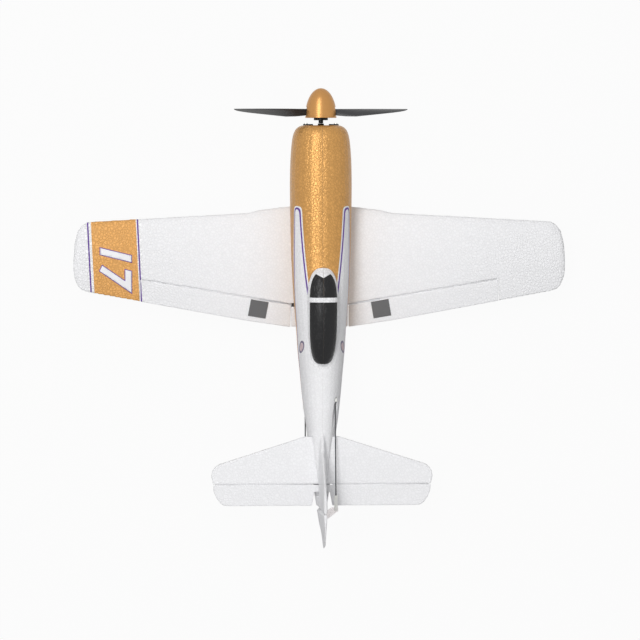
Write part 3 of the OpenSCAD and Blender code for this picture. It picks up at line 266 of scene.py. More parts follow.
def gold_and_pin(tree, side, aft, z):
    """Masks of the gold and the purple, from distances to the side, behind the nose and up."""
    run = add(tree, MATH, [aft, SHOULDER_FROM], operation="SUBTRACT")
    # the shoulder line closes in on the spine faster and faster
    sag = add(tree, MATH, [run, 0.71, 0.0426], operation="MULTIPLY_ADD")
    drawn_in = add(tree, MATH, [run, sag, side], operation="MULTIPLY_ADD")
    shoulder = add(tree, MATH, [drawn_in, SHOULDER_WIDTH], operation="SUBTRACT")
    sloping = add(tree, MATH, [aft, 0.06, z], operation="MULTIPLY_ADD")
    flank = add(tree, MATH, [sloping, FLANK_HEIGHT], operation="SUBTRACT")
    front = add(tree, MATH, [aft, FLASH_FRONT], operation="SUBTRACT")
    sides = add(tree, MATH, [shoulder, flank, 1.0 * MM], operation="SMOOTH_MIN")
    depth = add(tree, MATH, [sides, front, FRONT_ROUND], operation="SMOOTH_MIN")
    # the spine is white from the canopy on, and the tail is white behind a slanted line
    on_top = add(tree, MATH, [shoulder, 0.0], operation="LESS_THAN")
    behind = above(tree, aft, TOP_GOLD_END)
    top_white = add(tree, MATH, [on_top, behind], operation="MULTIPLY")
    slanted = add(tree, MATH, [z, 0.6, aft], operation="MULTIPLY_ADD")
    tail_white = above(tree, slanted, TAIL_WHITE_FROM)
    outside_flash = add(tree, MATH, [1.0, above(tree, depth, 0.0)], operation="SUBTRACT")
    white = add(tree, MATH, [top_white, tail_white], operation="MAXIMUM")
    gold = add(tree, MATH, [outside_flash, white], operation="SUBTRACT", use_clamp=True)
    # the pin line stops beside the canopy and at the tail
    pin = within(tree, depth, 1.0 * MM, 2.15 * MM)
    near_spine = add(tree, MATH, [shoulder, 4.0 * MM], operation="LESS_THAN")
    pin_end = add(tree, MATH, [behind, near_spine], operation="MULTIPLY")
    no_pin = add(tree, MATH, [pin_end, tail_white], operation="MAXIMUM")
    purple = add(tree, MATH, [pin, no_pin], operation="SUBTRACT", use_clamp=True)
    return gold, purple


print("flash starts", round(FLASH_FRONT / MM, 1), "mm behind the spinner tip")

# %% [markdown]
# ## The canopy
# The canopy is a raised part of the moulding, painted black with a white rim, a white bow across it and a
# notch in front. From above it is an egg: a superellipse, which is a circle's sum with a power other than 2,
# has two lengths and two powers here, so that the front is drawn out and the back is full. A separate glass
# shell would need a frame and a gap that a one-piece moulding doesn't have.

# %% Canopy masks
CANOPY_BLACK = "141416"
EGG_MIDDLE = 172 * MM
EGG_FORE = 25 * MM
EGG_REAR = 49 * MM
EGG_SIDE = 11 * MM
BOW = (167.4 * MM, 171.1 * MM)
NOTCH_FROM = 151.8 * MM
TOP_SIDE_ONLY = 52.0 * MM


def canopy_masks(tree, side, aft, z):
    """Masks of the white rim and of the black glass."""
    fore = add(tree, MATH, [EGG_MIDDLE, aft], operation="SUBTRACT")
    in_front = add(tree, MATH, [fore, 0.0], operation="GREATER_THAN")
    power = add(tree, MATH, [in_front, -0.9, 3.6], operation="MULTIPLY_ADD")
    fore_part = add(tree, MATH, [fore, 1 / EGG_FORE], operation="MULTIPLY")
    rear_part = add(tree, MATH, [fore, -1 / EGG_REAR], operation="MULTIPLY")
    length_part = add(tree, MATH, [fore_part, rear_part], operation="MAXIMUM")
    side_part = add(tree, MATH, [side, 1 / EGG_SIDE], operation="MULTIPLY")
    along = add(tree, MATH, [length_part, power], operation="POWER")
    across = add(tree, MATH, [side_part, power], operation="POWER")
    egg = add(tree, MATH, [along, across], operation="ADD")
    high_up = above(tree, z, TOP_SIDE_ONLY)
    rim = add(tree, "ShaderNodeMapRange", [egg, 1.33, 1.38, 1.0, 0.0])
    rim = add(tree, MATH, [rim, high_up], operation="MULTIPLY")
    glass = add(tree, "ShaderNodeMapRange", [egg, 0.98, 1.02, 1.0, 0.0])
    glass = add(tree, MATH, [glass, within(tree, aft, *BOW)], operation="SUBTRACT", use_clamp=True)
    notch = add(tree, MATH, [side, 0.54, aft], operation="MULTIPLY_ADD")
    glass = add(tree, MATH, [glass, above(tree, notch, NOTCH_FROM)], operation="MULTIPLY")
    glass = add(tree, MATH, [glass, high_up], operation="MULTIPLY")
    return rim, glass


print("canopy", round((EGG_FORE + EGG_REAR) / MM), "mm long and", round(2 * EGG_SIDE / MM), "mm wide")

# %% [markdown]
# ## Ringed spots and the seam
# Each flank has a small ringed spot behind the cockpit, on a level that leans back with the fuselage. Its
# distance from one point gives the ring and the disc. Where the two halves are glued, the paint breaks in a
# hair-thin line: it shows dark on the gold and hardly at all on the white.

# %% Spot and seam masks, and all coats of the fuselage
SPOT_AFT = 208 * MM
SPOT_HEIGHT = 46.5 * MM
SPOT_RADIUS = 3.1 * MM
RING_RADIUS = 4.6 * MM
SEAM_HALF_WIDTH = 0.14 * MM


def spot_masks(tree, aft, z):
    """Masks of the ring and of the disc within it."""
    down = add(tree, MATH, [z, SPOT_HEIGHT], operation="SUBTRACT")
    back_off = add(tree, MATH, [aft, SPOT_AFT], operation="SUBTRACT")
    leaning = add(tree, MATH, [down, 0.5, back_off], operation="MULTIPLY_ADD")
    spot = add(tree, "ShaderNodeCombineXYZ", [leaning, down, 0.0])
    radius = add(tree, "ShaderNodeVectorMath", [spot], operation="LENGTH").outputs["Value"]
    ring = within(tree, radius, SPOT_RADIUS, RING_RADIUS)
    disc = add(tree, MATH, [1.0, above(tree, radius, SPOT_RADIUS)], operation="SUBTRACT")
    return ring, disc


def fuselage_coats(tree, place):
    """Every coat on the fuselage, from the first that is sprayed to the last."""
    x, y, z = add(tree, "ShaderNodeSeparateXYZ", [place]).outputs
    side = add(tree, MATH, [x], operation="ABSOLUTE")
    aft = add(tree, MATH, [nose_y, y], operation="SUBTRACT")
    gold, purple = gold_and_pin(tree, side, aft, z)
    rim, glass = canopy_masks(tree, side, aft, z)
    ring, disc = spot_masks(tree, aft, z)
    middle = add(tree, MATH, [1.0, above(tree, side, SEAM_HALF_WIDTH)], operation="SUBTRACT")
    seam_depth = add(tree, MATH, [gold, 0.4, 0.15], operation="MULTIPLY_ADD")
    seam = add(tree, MATH, [middle, seam_depth], operation="MULTIPLY")
    return [(gold, GOLD, 0.33, 0.42), (purple, PURPLE, 0.5, 0.0), (rim, PAPER_WHITE, 0.5, 0.0),
            (glass, CANOPY_BLACK, 0.25, 0.0), (ring, "77708A", 0.5, 0.0), (disc, "D9C4C8", 0.5, 0.0),
            (seam, "6A5A48", 0.7, 0.0)]


# metallic paint over coarse beads: a warm gold with a broad, broken sheen and painted shade in the creases
fuselage_foam = bead_foam("bead_foam_fuselage_scheme", fuselage_coats, crease_shade_depth=0.84, relief=0.2 * MM)
print("spots", round(2 * RING_RADIUS / MM, 1), "mm wide; seam", round(2 * SEAM_HALF_WIDTH / MM, 2), "mm wide")

# %% [markdown]
# ## The wing band
# The left wing wears a band of gold film near its tip, between white margins with a purple pin line each.
# The band lies along the line of flight but leans out a little towards the front. It is painted by place too,
# so that it runs on over the aileron and turns with it.

# %% Coats of the wing
BAND_LEAN = 0.046
FILM_REACH = (-187.2 * MM, -141.9 * MM)
GOLD_REACH = (-182.0 * MM, -145.8 * MM)
OUTER_PIN = (-185.2 * MM, -184.0 * MM)
INNER_PIN = (-145.0 * MM, -143.8 * MM)


def wing_coats(tree, place):
    """White film, gold film and the two pin lines, by the distance out along the wing."""
    x, y, _ = add(tree, "ShaderNodeSeparateXYZ", [place]).outputs
    outward = add(tree, MATH, [y, BAND_LEAN, x], operation="MULTIPLY_ADD")
    film = within(tree, outward, *FILM_REACH)
    gold = within(tree, outward, *GOLD_REACH)
    outer = within(tree, outward, *OUTER_PIN)
    inner = within(tree, outward, *INNER_PIN)
    pins = add(tree, MATH, [outer, inner], operation="ADD", use_clamp=True)
    return [(film, "FAFAFB", 0.45, 0.0), (gold, "E5AA62", 0.4, 0.14), (pins, PURPLE, 0.5, 0.0)]


# painted shade darkens the films in the creases between the beads, so the band looks pebbled
wing_foam = bead_foam("bead_foam_wing_scheme", wing_coats, crease_shade_depth=0.81, relief=0.4 * MM,
                      rough_tips=True)
print("band", round((GOLD_REACH[1] - GOLD_REACH[0]) / MM, 1), "mm wide")

# %% [markdown]
# ## Moulded plastics
# Small parts are injection moulded from nylon, acetal and polycarbonate. Their colour is in the plastic and
# isn't quite even, and the mould leaves a fine matt grain on them. One function gives all of them a faint
# cloud of tone and a low grain, which breaks up the gloss. Real mould grain is under 0.05 mm; it is drawn
# as coarse as 0.25 mm so that it shows at all.

# %% Plastic finishes
def moulded_plastic(name, colour, rough, grain_mm=0.25, grain_depth=0.02, tint=0.06, **sockets):
    """Moulded plastic or film, with the grain's width and depth in millimetres."""
    material, tree, shader, place = start_finish(name)
    grain = add(tree, "ShaderNodeTexNoise", {"Vector": place, "Scale": 1 / (grain_mm * MM), "Detail": 4.0})
    cloud = add(tree, "ShaderNodeTexNoise", {"Vector": place, "Scale": 1 / (9 * MM), "Detail": 2.0})
    shade = add(tree, "ShaderNodeMapRange", [cloud.outputs["Fac"], 0.3, 0.7, 1 - tint, 1 + tint])
    base = add(tree, "ShaderNodeMix", {0: 1.0, 6: linear(colour), 7: shade},
               data_type="RGBA", blend_type="MULTIPLY").outputs[2]
    gloss = add(tree, "ShaderNodeMapRange", [grain.outputs["Fac"], 0.3, 0.7, rough - 0.06, rough + 0.06])
    bump = add(tree, "ShaderNodeBump", {"Height": grain.outputs["Fac"], "Strength": 0.4,
                                        "Distance": grain_depth * MM})
    feed(tree, shader, Base_Color=base, Roughness=gloss, Normal=bump, **sockets)
    return material


# glass-filled nylon: a dull sheen on near-black blades
black_nylon = moulded_plastic("black_glass_filled_nylon", "2A2A2C", 0.42, 0.3, 0.03)
# acetal: slick and deep black, or waxy white that light enters a little way
black_acetal = moulded_plastic("black_acetal", "09090A", 0.35, 0.3, 0.02, Specular_IOR_Level=0.2)
white_acetal = moulded_plastic("white_acetal", "F6F6F2", 0.38, tint=0.03, Transmission_Weight=0.25)
# uncoloured nylon: creamy, like horn
natural_nylon = moulded_plastic("natural_nylon", "E6E1D3", 0.45, Transmission_Weight=0.12)
# polycarbonate: nearly clear control horns, and smoked servo cases with a clean gloss
clear_horn = moulded_plastic("translucent_polycarbonate", "FBF6F6", 0.3, tint=0.02,
                             Transmission_Weight=0.7, IOR=1.4)
smoke_case = moulded_plastic("smoke_polycarbonate_case", "3A3B42", 0.3)
# ABS in a strong blue, as on the brush end of small motors
blue_cap = moulded_plastic("blue_abs_end_cap", "2F5CA8", 0.4)
# calendered vinyl: flat and even, with a soft sheen
patch_film = moulded_plastic("grey_vinyl_patch", "606061", 0.5, 0.6, 0.03, 0.03)
# epoxy on chips: black and dusty
chip_epoxy = moulded_plastic("black_chip_epoxy", "17171A", 0.55, 0.15, 0.01)
print("plastics", black_nylon.name, black_acetal.name, white_acetal.name, natural_nylon.name)

# %% [markdown]
# ## Sprayed gold
# The spinner and the belly cover are ABS, sprayed with a paint that holds fine metal flakes. Full metal would
# look cast, so the paint is part metal: the flakes glint while the lacquer keeps a soft body colour. Random
# tones for the cells of a Voronoi pattern are the flakes. Real ones are under 0.05 mm, drawn at 0.12 mm here.

# %% Sprayed ABS
FLAKE = 0.12 * MM
ORANGE_PEEL = 1.1 * MM


def painted_abs(name, colour):
    """ABS under a metallic paint with the slight orange peel of a spray can."""
    material, tree, shader, place = start_finish(name)
    flakes = add(tree, "ShaderNodeTexVoronoi", {"Vector": place, "Scale": 1 / FLAKE}, feature="F1")
    fleck = add(tree, "ShaderNodeSeparateColor", [flakes.outputs["Color"]])
    shade = add(tree, "ShaderNodeMapRange", [fleck.outputs[0], 0.0, 1.0, 0.92, 1.06])
    base = add(tree, "ShaderNodeMix", {0: 1.0, 6: linear(colour), 7: shade},
               data_type="RGBA", blend_type="MULTIPLY").outputs[2]
    peel = add(tree, "ShaderNodeTexNoise", {"Vector": place, "Scale": 1 / ORANGE_PEEL, "Detail": 2.0})
    bump = add(tree, "ShaderNodeBump", {"Height": peel.outputs["Fac"], "Strength": 0.3,
                                        "Distance": 0.03 * MM})
    feed(tree, shader, Base_Color=base, Roughness=0.33, Metallic=0.6, IOR=1.5, Normal=bump)
    return material


# satin gold with a broad highlight
belly_abs = painted_abs("gold_painted_belly_abs", GOLD)
gold_abs = painted_abs("gold_painted_spinner_abs", "C08C50")
print("flakes", round(FLAKE / MM, 2), "mm, orange peel", round(ORANGE_PEEL / MM, 1), "mm")

# %% [markdown]
# ## Metals
# Wire is drawn, shafts are ground, screws are plated and bushes are sintered. What the eye reads is the
# direction and fineness of the marks, so each metal gets its own stretch and scale of one noise. Drawing
# marks are finer than 0.05 mm; they are drawn at 0.2 mm to show.

# %% Metal finishes
EVEN = (1.0, 1.0, 1.0)


def worked_metal(name, colour, rough, mark_mm, stretch):
    """A metal whose marks are mark_mm wide and drawn out where the stretch is under 1."""
    material, tree, shader, place = start_finish(name)
    mapping = add(tree, "ShaderNodeMapping", {"Vector": place, "Scale": stretch})
    marks = add(tree, "ShaderNodeTexNoise", {"Vector": mapping.outputs[0], "Scale": 1 / (mark_mm * MM),
                                             "Detail": 4.0})
    shade = add(tree, "ShaderNodeMapRange", [marks.outputs["Fac"], 0.3, 0.7, 0.9, 1.05])
    base = add(tree, "ShaderNodeMix", {0: 1.0, 6: linear(colour), 7: shade},
               data_type="RGBA", blend_type="MULTIPLY").outputs[2]
    gloss = add(tree, "ShaderNodeMapRange", [marks.outputs["Fac"], 0.3, 0.7, rough - 0.07, rough + 0.07])
    bump = add(tree, "ShaderNodeBump", {"Height": marks.outputs["Fac"], "Strength": 0.3,
                                        "Distance": 0.01 * MM})
    feed(tree, shader, Base_Color=base, Roughness=gloss, Metallic=1.0, Normal=bump)
    return material


# drawn wire: streaks along its length, blackened for the pushrods and zinc bright for the torque rods
drawn_wire = worked_metal("blackened_steel_wire", "4C4D50", 0.45, 0.2, (1.0, 0.05, 1.0))
bright_wire = worked_metal("zinc_plated_wire", "D4D5D8", 0.4, 0.2, (0.05, 1.0, 1.0))
# ground and plated steel: smooth, with sharp small highlights
ground_steel = worked_metal("ground_steel", "B9BBBE", 0.25, 0.3, EVEN)
nickel_steel = worked_metal("nickel_plated_steel", "C9C8C4", 0.2, 0.6, EVEN)
# sintered bronze: a dull yellow grain, nearly black where oil has soaked in
sintered_bronze = worked_metal("sintered_bronze", "A98350", 0.45, 0.25, EVEN)
oiled_bush = worked_metal("oil_darkened_bronze", "2E261E", 0.5, 0.25, EVEN)
print("metals", drawn_wire.name, bright_wire.name, ground_steel.name, nickel_steel.name)

# %% [markdown]
# ## Carbon and copper
# The wing's spars are pultruded carbon, whose fibres all run along the rod: a noise that is stretched
# along the span. The motor's rotor is wound with copper wire, turn beside turn, which a wave of bands draws
# with a painted highlight on each turn and painted shade between the turns.

# %% Carbon and copper finishes
def pultruded_rod(name):
    """Long fibres in black resin: a dark satin with fine grey streaks."""
    material, tree, shader, place = start_finish(name)
    mapping = add(tree, "ShaderNodeMapping", {"Vector": place, "Scale": (0.03, 1.0, 1.0)})
    fibres = add(tree, "ShaderNodeTexNoise", {"Vector": mapping.outputs[0], "Scale": 1 / (0.15 * MM)})
    base = add(tree, "ShaderNodeMix", {0: fibres.outputs["Fac"], 6: linear("101012"), 7: linear("2C2C30")},
               data_type="RGBA").outputs[2]
    feed(tree, shader, Base_Color=base, Roughness=0.35)
    return material


def wound_copper(name):
    """Lacquered copper wire: each ridge painted bright as a highlight and each gap between turns painted dark
    as shade.
    """
    material, tree, shader, place = start_finish(name)
    turns = add(tree, "ShaderNodeTexWave", {"Vector": place, "Scale": 1 / (0.9 * MM), "Distortion": 0.6},
                wave_type="BANDS", bands_direction="Y")
    # painted highlight and painted shade: bright copper on the ridges, dark copper in the gaps
    base = add(tree, "ShaderNodeMix", {0: turns.outputs["Fac"], 6: linear("6E3418"), 7: linear("D28A5A")},
               data_type="RGBA").outputs[2]
    bump = add(tree, "ShaderNodeBump", {"Height": turns.outputs["Fac"], "Distance": 0.05 * MM})
    feed(tree, shader, Base_Color=base, Roughness=0.3, Metallic=1.0, Normal=bump)
    return material


carbon_rod = pultruded_rod("pultruded_carbon")
coil_copper = wound_copper("wound_copper")
print("made", carbon_rod.name, "and", coil_copper.name)

# %% [markdown]
# ## Board and leads
# The receiver's board is fibreglass under green lacquer, with copper tracks under it that show as paler
# lines: the mortar of a brick pattern is enough at this size. Leads have silicone skins, and each lead of a
# bundle has its own colour. The bundles are single meshes, so a lead is told by the side that it lies on.

# %% Board and lead finishes
def solder_masked_board(name):
    """Glossy dark green with a few paler tracks, 4 mm apart."""
    material, tree, shader, place = start_finish(name)
    tracks = add(tree, "ShaderNodeTexBrick", {"Vector": place, "Scale": 1 / (4 * MM), "Mortar Size": 0.03,
                                              "Color1": linear("0B4A2A"), "Color2": linear("0E5630"),
                                              "Mortar": linear("2F8A58")})
    feed(tree, shader, Base_Color=tracks.outputs["Color"], Roughness=0.3, Coat_Weight=0.4)
    return material


def wire_insulation(name):
    """Soft matt silicone: red on the right of the middle and black on the left."""
    material, tree, shader, place = start_finish(name)
    axes = add(tree, "ShaderNodeSeparateXYZ", [place])
    side = add(tree, MATH, [axes.outputs[0], 0.8 * MM], operation="GREATER_THAN")
    base = add(tree, "ShaderNodeMix", {0: side, 6: linear("1B1B1E"), 7: linear("B3201A")},
               data_type="RGBA").outputs[2]
    feed(tree, shader, Base_Color=base, Roughness=0.5)
    return material


board_green = solder_masked_board("solder_masked_board")
lead_skins = wire_insulation("silicone_wire_skins")
print("made", board_green.name, "and", lead_skins.name)

# %% [markdown]
# ## Tape and pouch
# The battery and the board sit on foam tape, whose open cells take the gloss away: a Voronoi pattern of
# 0.5 mm cells. The cell itself is a soft pouch of aluminised film with a few shallow creases.

# %% Tape and pouch finishes
def soft_tape(name):
    """Foam mounting tape: dark, open-celled and without any shine."""
    material, tree, shader, place = start_finish(name)
    cells = add(tree, "ShaderNodeTexVoronoi", {"Vector": place, "Scale": 1 / (0.5 * MM)}, feature="F1")
    base = add(tree, "ShaderNodeMix", {0: cells.outputs["Distance"], 6: linear("3C3C3E"),
                                       7: linear("1E1E20")}, data_type="RGBA").outputs[2]
    bump = add(tree, "ShaderNodeBump", {"Height": cells.outputs["Distance"], "Distance": 0.1 * MM})
    feed(tree, shader, Base_Color=base, Roughness=0.9, Normal=bump)
    return material


def pouch_foil(name):
    """Aluminised film: dull silver, painted darker in the hollow of each crease as shade."""
    material, tree, shader, place = start_finish(name)
    creases = add(tree, "ShaderNodeTexNoise", {"Vector": place, "Scale": 1 / (5 * MM), "Distortion": 1.0})
    bump = add(tree, "ShaderNodeBump", {"Height": creases.outputs["Fac"], "Distance": 0.3 * MM})
    # painted shade: the silver is darker where the crease noise dips, in the hollows
    base = add(tree, "ShaderNodeMix", {0: creases.outputs["Fac"], 6: linear("9AA0AA"), 7: linear("C6CAD0")},
               data_type="RGBA").outputs[2]
    feed(tree, shader, Base_Color=base, Roughness=0.35, Metallic=0.8, Normal=bump)
    return material


mounting_tape = soft_tape("foam_mounting_tape")
cell_pouch = pouch_foil("aluminised_pouch")
print("made", mounting_tape.name, "and", cell_pouch.name)

# %% [markdown]
# ## Foam pieces
# A mould leaves foam with soft edges everywhere, and the CAD pieces have sharp ones. A bevel would need
# clean edges, which curved foam that has been cut by pockets doesn't have. So each foam piece is a merged
# copy that is laid out again in even little squares and relaxed a little: the voxel remesh rounds an edge
# by about the size of its squares. Three small helpers copy a piece, bake its modifiers and dress it.

# %% Copy, settle and dress a piece
def copy_of(node_name, piece_name):
    """A merged copy of a CAD piece, as an object of its own."""
    mesh = frame["nodes"][node_name].data.copy()
    mesh.materials.clear()
    work = bmesh.new()
    work.from_mesh(mesh)
    bmesh.ops.remove_doubles(work, verts=work.verts, dist=0.002 * MM)
    work.to_mesh(mesh)
    work.free()
    mesh.name = piece_name
    piece = bpy.data.objects.new(piece_name, mesh)
    bpy.context.scene.collection.objects.link(piece)
    return piece


def settle(piece):
    """Bakes the modifiers into the piece's own mesh."""
    bpy.context.view_layer.update()
    seen = piece.evaluated_get(bpy.context.evaluated_depsgraph_get())
    mesh = bpy.data.meshes.new_from_object(seen)
    piece.modifiers.clear()
    piece.data = mesh
    mesh.name = piece.name


def dress(piece, material, body, *nodes):
    """Gives the piece its finish and its body, and hides the CAD nodes that it stands for."""
    piece.data.materials.clear()
    piece.data.materials.append(material)
    for face in piece.data.polygons:
        face.material_index = 0
    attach(piece, body)
    if nodes:
        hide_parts(*nodes)
    return piece


print("CAD pieces to finish:", len(frame["nodes"]))

# %% [markdown]
# ## The glue seam
# The fuselage is two halves that meet in a fine line. A remesh would round the meeting edges into a groove,
# so the flat side of each half is first pushed past the middle, and cut flush again after the remesh.

# %% Foam skins
SEAM_SPARE = 1.5 * MM
SEAM_SIDES = {"fuselage_left": -1, "fuselage_right": 1}


def cut_at_seam(piece, seam_side):
    """Cuts a half flush on the middle plane and closes it with a flat face."""
    work = bmesh.new()
    work.from_mesh(piece.data)
    cut = bmesh.ops.bisect_plane(work, geom=work.verts[:] + work.edges[:] + work.faces[:], dist=0.001 * MM,
                                 plane_co=(0, 0, 0), plane_no=(-seam_side, 0, 0), clear_outer=True)
    rim = [item for item in cut["geom_cut"] if isinstance(item, bmesh.types.BMEdge)]
    made = bmesh.ops.triangle_fill(work, edges=rim, use_beauty=True, normal=(-seam_side, 0, 0))
    for item in made["geom"]:
        if isinstance(item, bmesh.types.BMFace):
            item.smooth = False
    for edge in rim:
        edge.smooth = False
    bmesh.ops.recalc_face_normals(work, faces=work.faces)
    work.to_mesh(piece.data)
    work.free()


def foam_piece(node_name, material, body, square):
    """A foam node with soft edges, in squares of the given size."""
    piece = copy_of(node_name, node_name + "_foam")
    seam_side = SEAM_SIDES.get(node_name, 0)
    for vert in piece.data.vertices:
        if seam_side and abs(vert.co.x) < 0.01 * MM:
            vert.co.x = -seam_side * SEAM_SPARE
    remesh = piece.modifiers.new("squares", "REMESH")
    remesh.mode = "VOXEL"
    remesh.voxel_size = square
    remesh.use_smooth_shade = True
    ease = piece.modifiers.new("relax", "SMOOTH")
    ease.factor = 0.5
    ease.iterations = 2
    settle(piece)
    if seam_side:
        cut_at_seam(piece, seam_side)
    print(piece.name, len(piece.data.polygons), "faces")
    return dress(piece, material, body, node_name)


foam_list = [
    ("fuselage_left", fuselage_foam, "airframe", 0.85), ("fuselage_right", fuselage_foam, "airframe", 0.85),
    ("wing", wing_foam, "airframe", 0.85), ("stabilizer", white_foam, "airframe", 0.6),
    ("aileron_left", wing_foam, "left_aileron", 0.5), ("aileron_right", wing_foam, "right_aileron", 0.5),
    ("elevator", white_foam, "elevator_surface", 0.55), ("rudder", white_foam, "rudder_surface", 0.55),
    ("battery_hatch", fuselage_foam, "hatch", 0.6)]
foam = {name: foam_piece(name, material, body, square * MM) for name, material, body, square in foam_list}

# %% [markdown]
# ## Hinge webs
# The moving surfaces are moulded in one with the tail and wing, and a thin web of crushed foam is left as
# the hinge. A sheet would tear or fold when the surface turns. Each web is a slim rod on the hinge axis
# instead: it closes the gap to the light and, being round, lets the surface turn about it.

# %% Webs on the hinge axes
WEB_RADIUS = 0.34 * MM
WEB_ENDS = 1.5 * MM
TAIL_CONE = 8 * MM
joints = {joint["name"]: joint for joint in frame["record"]["behaviour"]["joints"]}


def hinge_web(name, joint_name, reach_from, reach_to, material):
    """A rod along a joint's axis between two distances from the joint's own point."""
    start = Vector(joints[joint_name]["pos_m"])
    axis = Vector(joints[joint_name]["axis"]).normalized()
    work = bmesh.new()
    bmesh.ops.create_cone(work, cap_ends=True, segments=16, radius1=WEB_RADIUS, radius2=WEB_RADIUS,
                          depth=reach_to - reach_from)
    turn = Vector((0, 0, 1)).rotation_difference(axis).to_matrix().to_4x4()
    middle = start + axis * (reach_from + reach_to) / 2
    bmesh.ops.transform(work, matrix=Matrix.Translation(middle) @ turn, verts=work.verts)
    for face in work.faces:
        face.smooth = len(face.verts) == 4
    mesh = bpy.data.meshes.new(name)
    work.to_mesh(mesh)
    work.free()
    web = bpy.data.objects.new(name, mesh)
    bpy.context.scene.collection.objects.link(web)
    print(name, round((reach_to - reach_from) / MM, 1), "mm long")
    return dress(web, material, "airframe")


aileron_joint = joints["aileron_right_hinge"]
aileron_tip = (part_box("aileron_right")[1].x - aileron_joint["pos_m"][0]) / aileron_joint["axis"][0]
elevator_low, elevator_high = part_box("elevator")
rudder_low, rudder_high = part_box("rudder")
rudder_z = joints["rudder_hinge"]["pos_m"][2]
hinge_web("aileron_web_right", "aileron_right_hinge", WEB_ENDS, aileron_tip - WEB_ENDS, wing_foam)
hinge_web("aileron_web_left", "aileron_left_hinge", WEB_ENDS, aileron_tip - WEB_ENDS, wing_foam)
hinge_web("elevator_web_right", "elevator_hinge", TAIL_CONE, elevator_high.x - WEB_ENDS, white_foam)
hinge_web("elevator_web_left", "elevator_hinge", elevator_low.x + WEB_ENDS, -TAIL_CONE, white_foam)
hinge_web("rudder_web", "rudder_hinge", rudder_low.z - rudder_z + 2 * WEB_ENDS,
          rudder_high.z - rudder_z - WEB_ENDS, white_foam)

# %% [markdown]
# ## Hard pieces
# Hard parts keep their CAD shape, but real edges are never razor sharp. A narrow bevel on every corner
# catches the light, and smooth shading between the corners hides the small flats of the CAD mesh. The
# loose triangles are merged and the flat ones joined first, so that the bevel finds only true corners.

# %% Hard pieces with broken edges
SHARP = math.radians(32)
FLAT = math.radians(1)


def hard_piece(node_name, material, body, edge):
    """A hard node with its corners broken by a bevel as wide as edge, in millimetres."""
    piece = copy_of(node_name, node_name + "_finished")
    work = bmesh.new()
    work.from_mesh(piece.data)
    bmesh.ops.dissolve_limit(work, angle_limit=FLAT, verts=work.verts, edges=work.edges)
    for face in work.faces:
        face.smooth = True
    for line in work.edges:
        line.smooth = line.calc_face_angle(math.pi) < SHARP
    work.to_mesh(piece.data)
    work.free()
    if edge:
        bevel = piece.modifiers.new("broken_edges", "BEVEL")
        bevel.width = edge * MM
        bevel.segments = 2
        bevel.limit_method = "ANGLE"
        bevel.angle_limit = SHARP
        settle(piece)
    return dress(piece, material, body, node_name)


print("corners over", round(math.degrees(SHARP)), "degrees are broken")

# %% [markdown]
# ## Which finish on which hard piece
# Each row names a piece, its finish, the body that it rides on and the width of its broken edges. Wire, gears
# and thin sheets get no bevel: their own edges are smaller than one.

# %% Hard pieces, body by body
hard_list = [
    ("propeller", black_nylon, "prop_drive", 0), ("spinner_backplate", gold_abs, "prop_drive", 0.1),
    ("spinner", gold_abs, "prop_drive", 0), ("prop_adapter", black_acetal, "prop_drive", 0.1),
    ("prop_nut", nickel_steel, "prop_drive", 0.1), ("gearbox_frame", black_acetal, "airframe", 0.1),
    ("mount_screws", nickel_steel, "airframe", 0.08), ("spur_gear", natural_nylon, "prop_drive", 0),
    ("belly_cover", belly_abs, "airframe", 0.3), ("belly_cover_screws", nickel_steel, "airframe", 0.08),
    ("torque_rod_sleeves", black_nylon, "airframe", 0.15),
    ("torque_rod_left", bright_wire, "left_aileron", 0),
    ("torque_rod_right", bright_wire, "right_aileron", 0),
    ("rod_patch_left", patch_film, "left_aileron", 0), ("rod_patch_right", patch_film, "right_aileron", 0),
    ("elevator_horn", clear_horn, "elevator_surface", 0.12),
    ("rudder_horn", clear_horn, "rudder_surface", 0.12),
    ("elevator_pushrod", drawn_wire, "elevator_rod", 0), ("rudder_pushrod", drawn_wire, "rudder_rod", 0),
    ("elevator_clevis", white_acetal, "elevator_rod", 0.15),
    ("rudder_clevis", white_acetal, "rudder_rod", 0.15), ("pushrod_guides", white_acetal, "airframe", 0.15),
    ("battery", cell_pouch, "airframe", 0.8), ("aileron_servo", smoke_case, "airframe", 0.2),
    ("elevator_servo", smoke_case, "airframe", 0.2), ("rudder_servo", smoke_case, "airframe", 0.2)]
for name, material, body, edge in hard_list:
    hard_piece(name, material, body, edge)
print(len(hard_list), "hard pieces")

# %% [markdown]
# ## Inner pieces
# What lies inside the fuselage is seen only when the model is taken apart. Those pieces keep their CAD
# meshes, which are fine enough, and only get their real materials.

# %% Inner pieces keep their CAD meshes
inner_list = {
    "wing_spars": carbon_rod, "shaft_bushes": oiled_bush, "motor_can": nickel_steel,
    "motor_end_cap": blue_cap, "motor_shaft": ground_steel, "motor_rotor": coil_copper,
    "pinion": sintered_bronze, "prop_shaft": ground_steel, "shaft_collar": ground_steel,
    "battery_pad": mounting_tape, "hatch_magnets": nickel_steel, "bay_magnets": nickel_steel,
    "receiver_board": board_green, "board_components": chip_epoxy, "board_pad": mounting_tape,
    "aileron_servo_arm": white_acetal, "elevator_servo_arm": white_acetal, "rudder_servo_arm": white_acetal,
    "aileron_arm_screw": nickel_steel, "elevator_arm_screw": nickel_steel, "rudder_arm_screw": nickel_steel,
    "motor_leads": lead_skins, "battery_lead": lead_skins, "battery_plug": natural_nylon,
    "servo_leads": lead_skins}
for name, material in inner_list.items():
    cad_piece = frame["nodes"][name]
    cad_piece.data.materials.clear()
    cad_piece.data.materials.append(material)
print(len(inner_list), "inner pieces")

# %% [markdown]
# ## The wing number
# Racing numbers are cut from film and pressed on. Two digits lie on the gold band and read towards the
# trailing edge: a purple backing shows as an outline round the white face. Digits painted by a mask would
# need a formula for their shape, and a text object already has it. The text becomes a flat mesh, is cut
# into small squares and then lowered onto the wing, so that the film follows its curve.

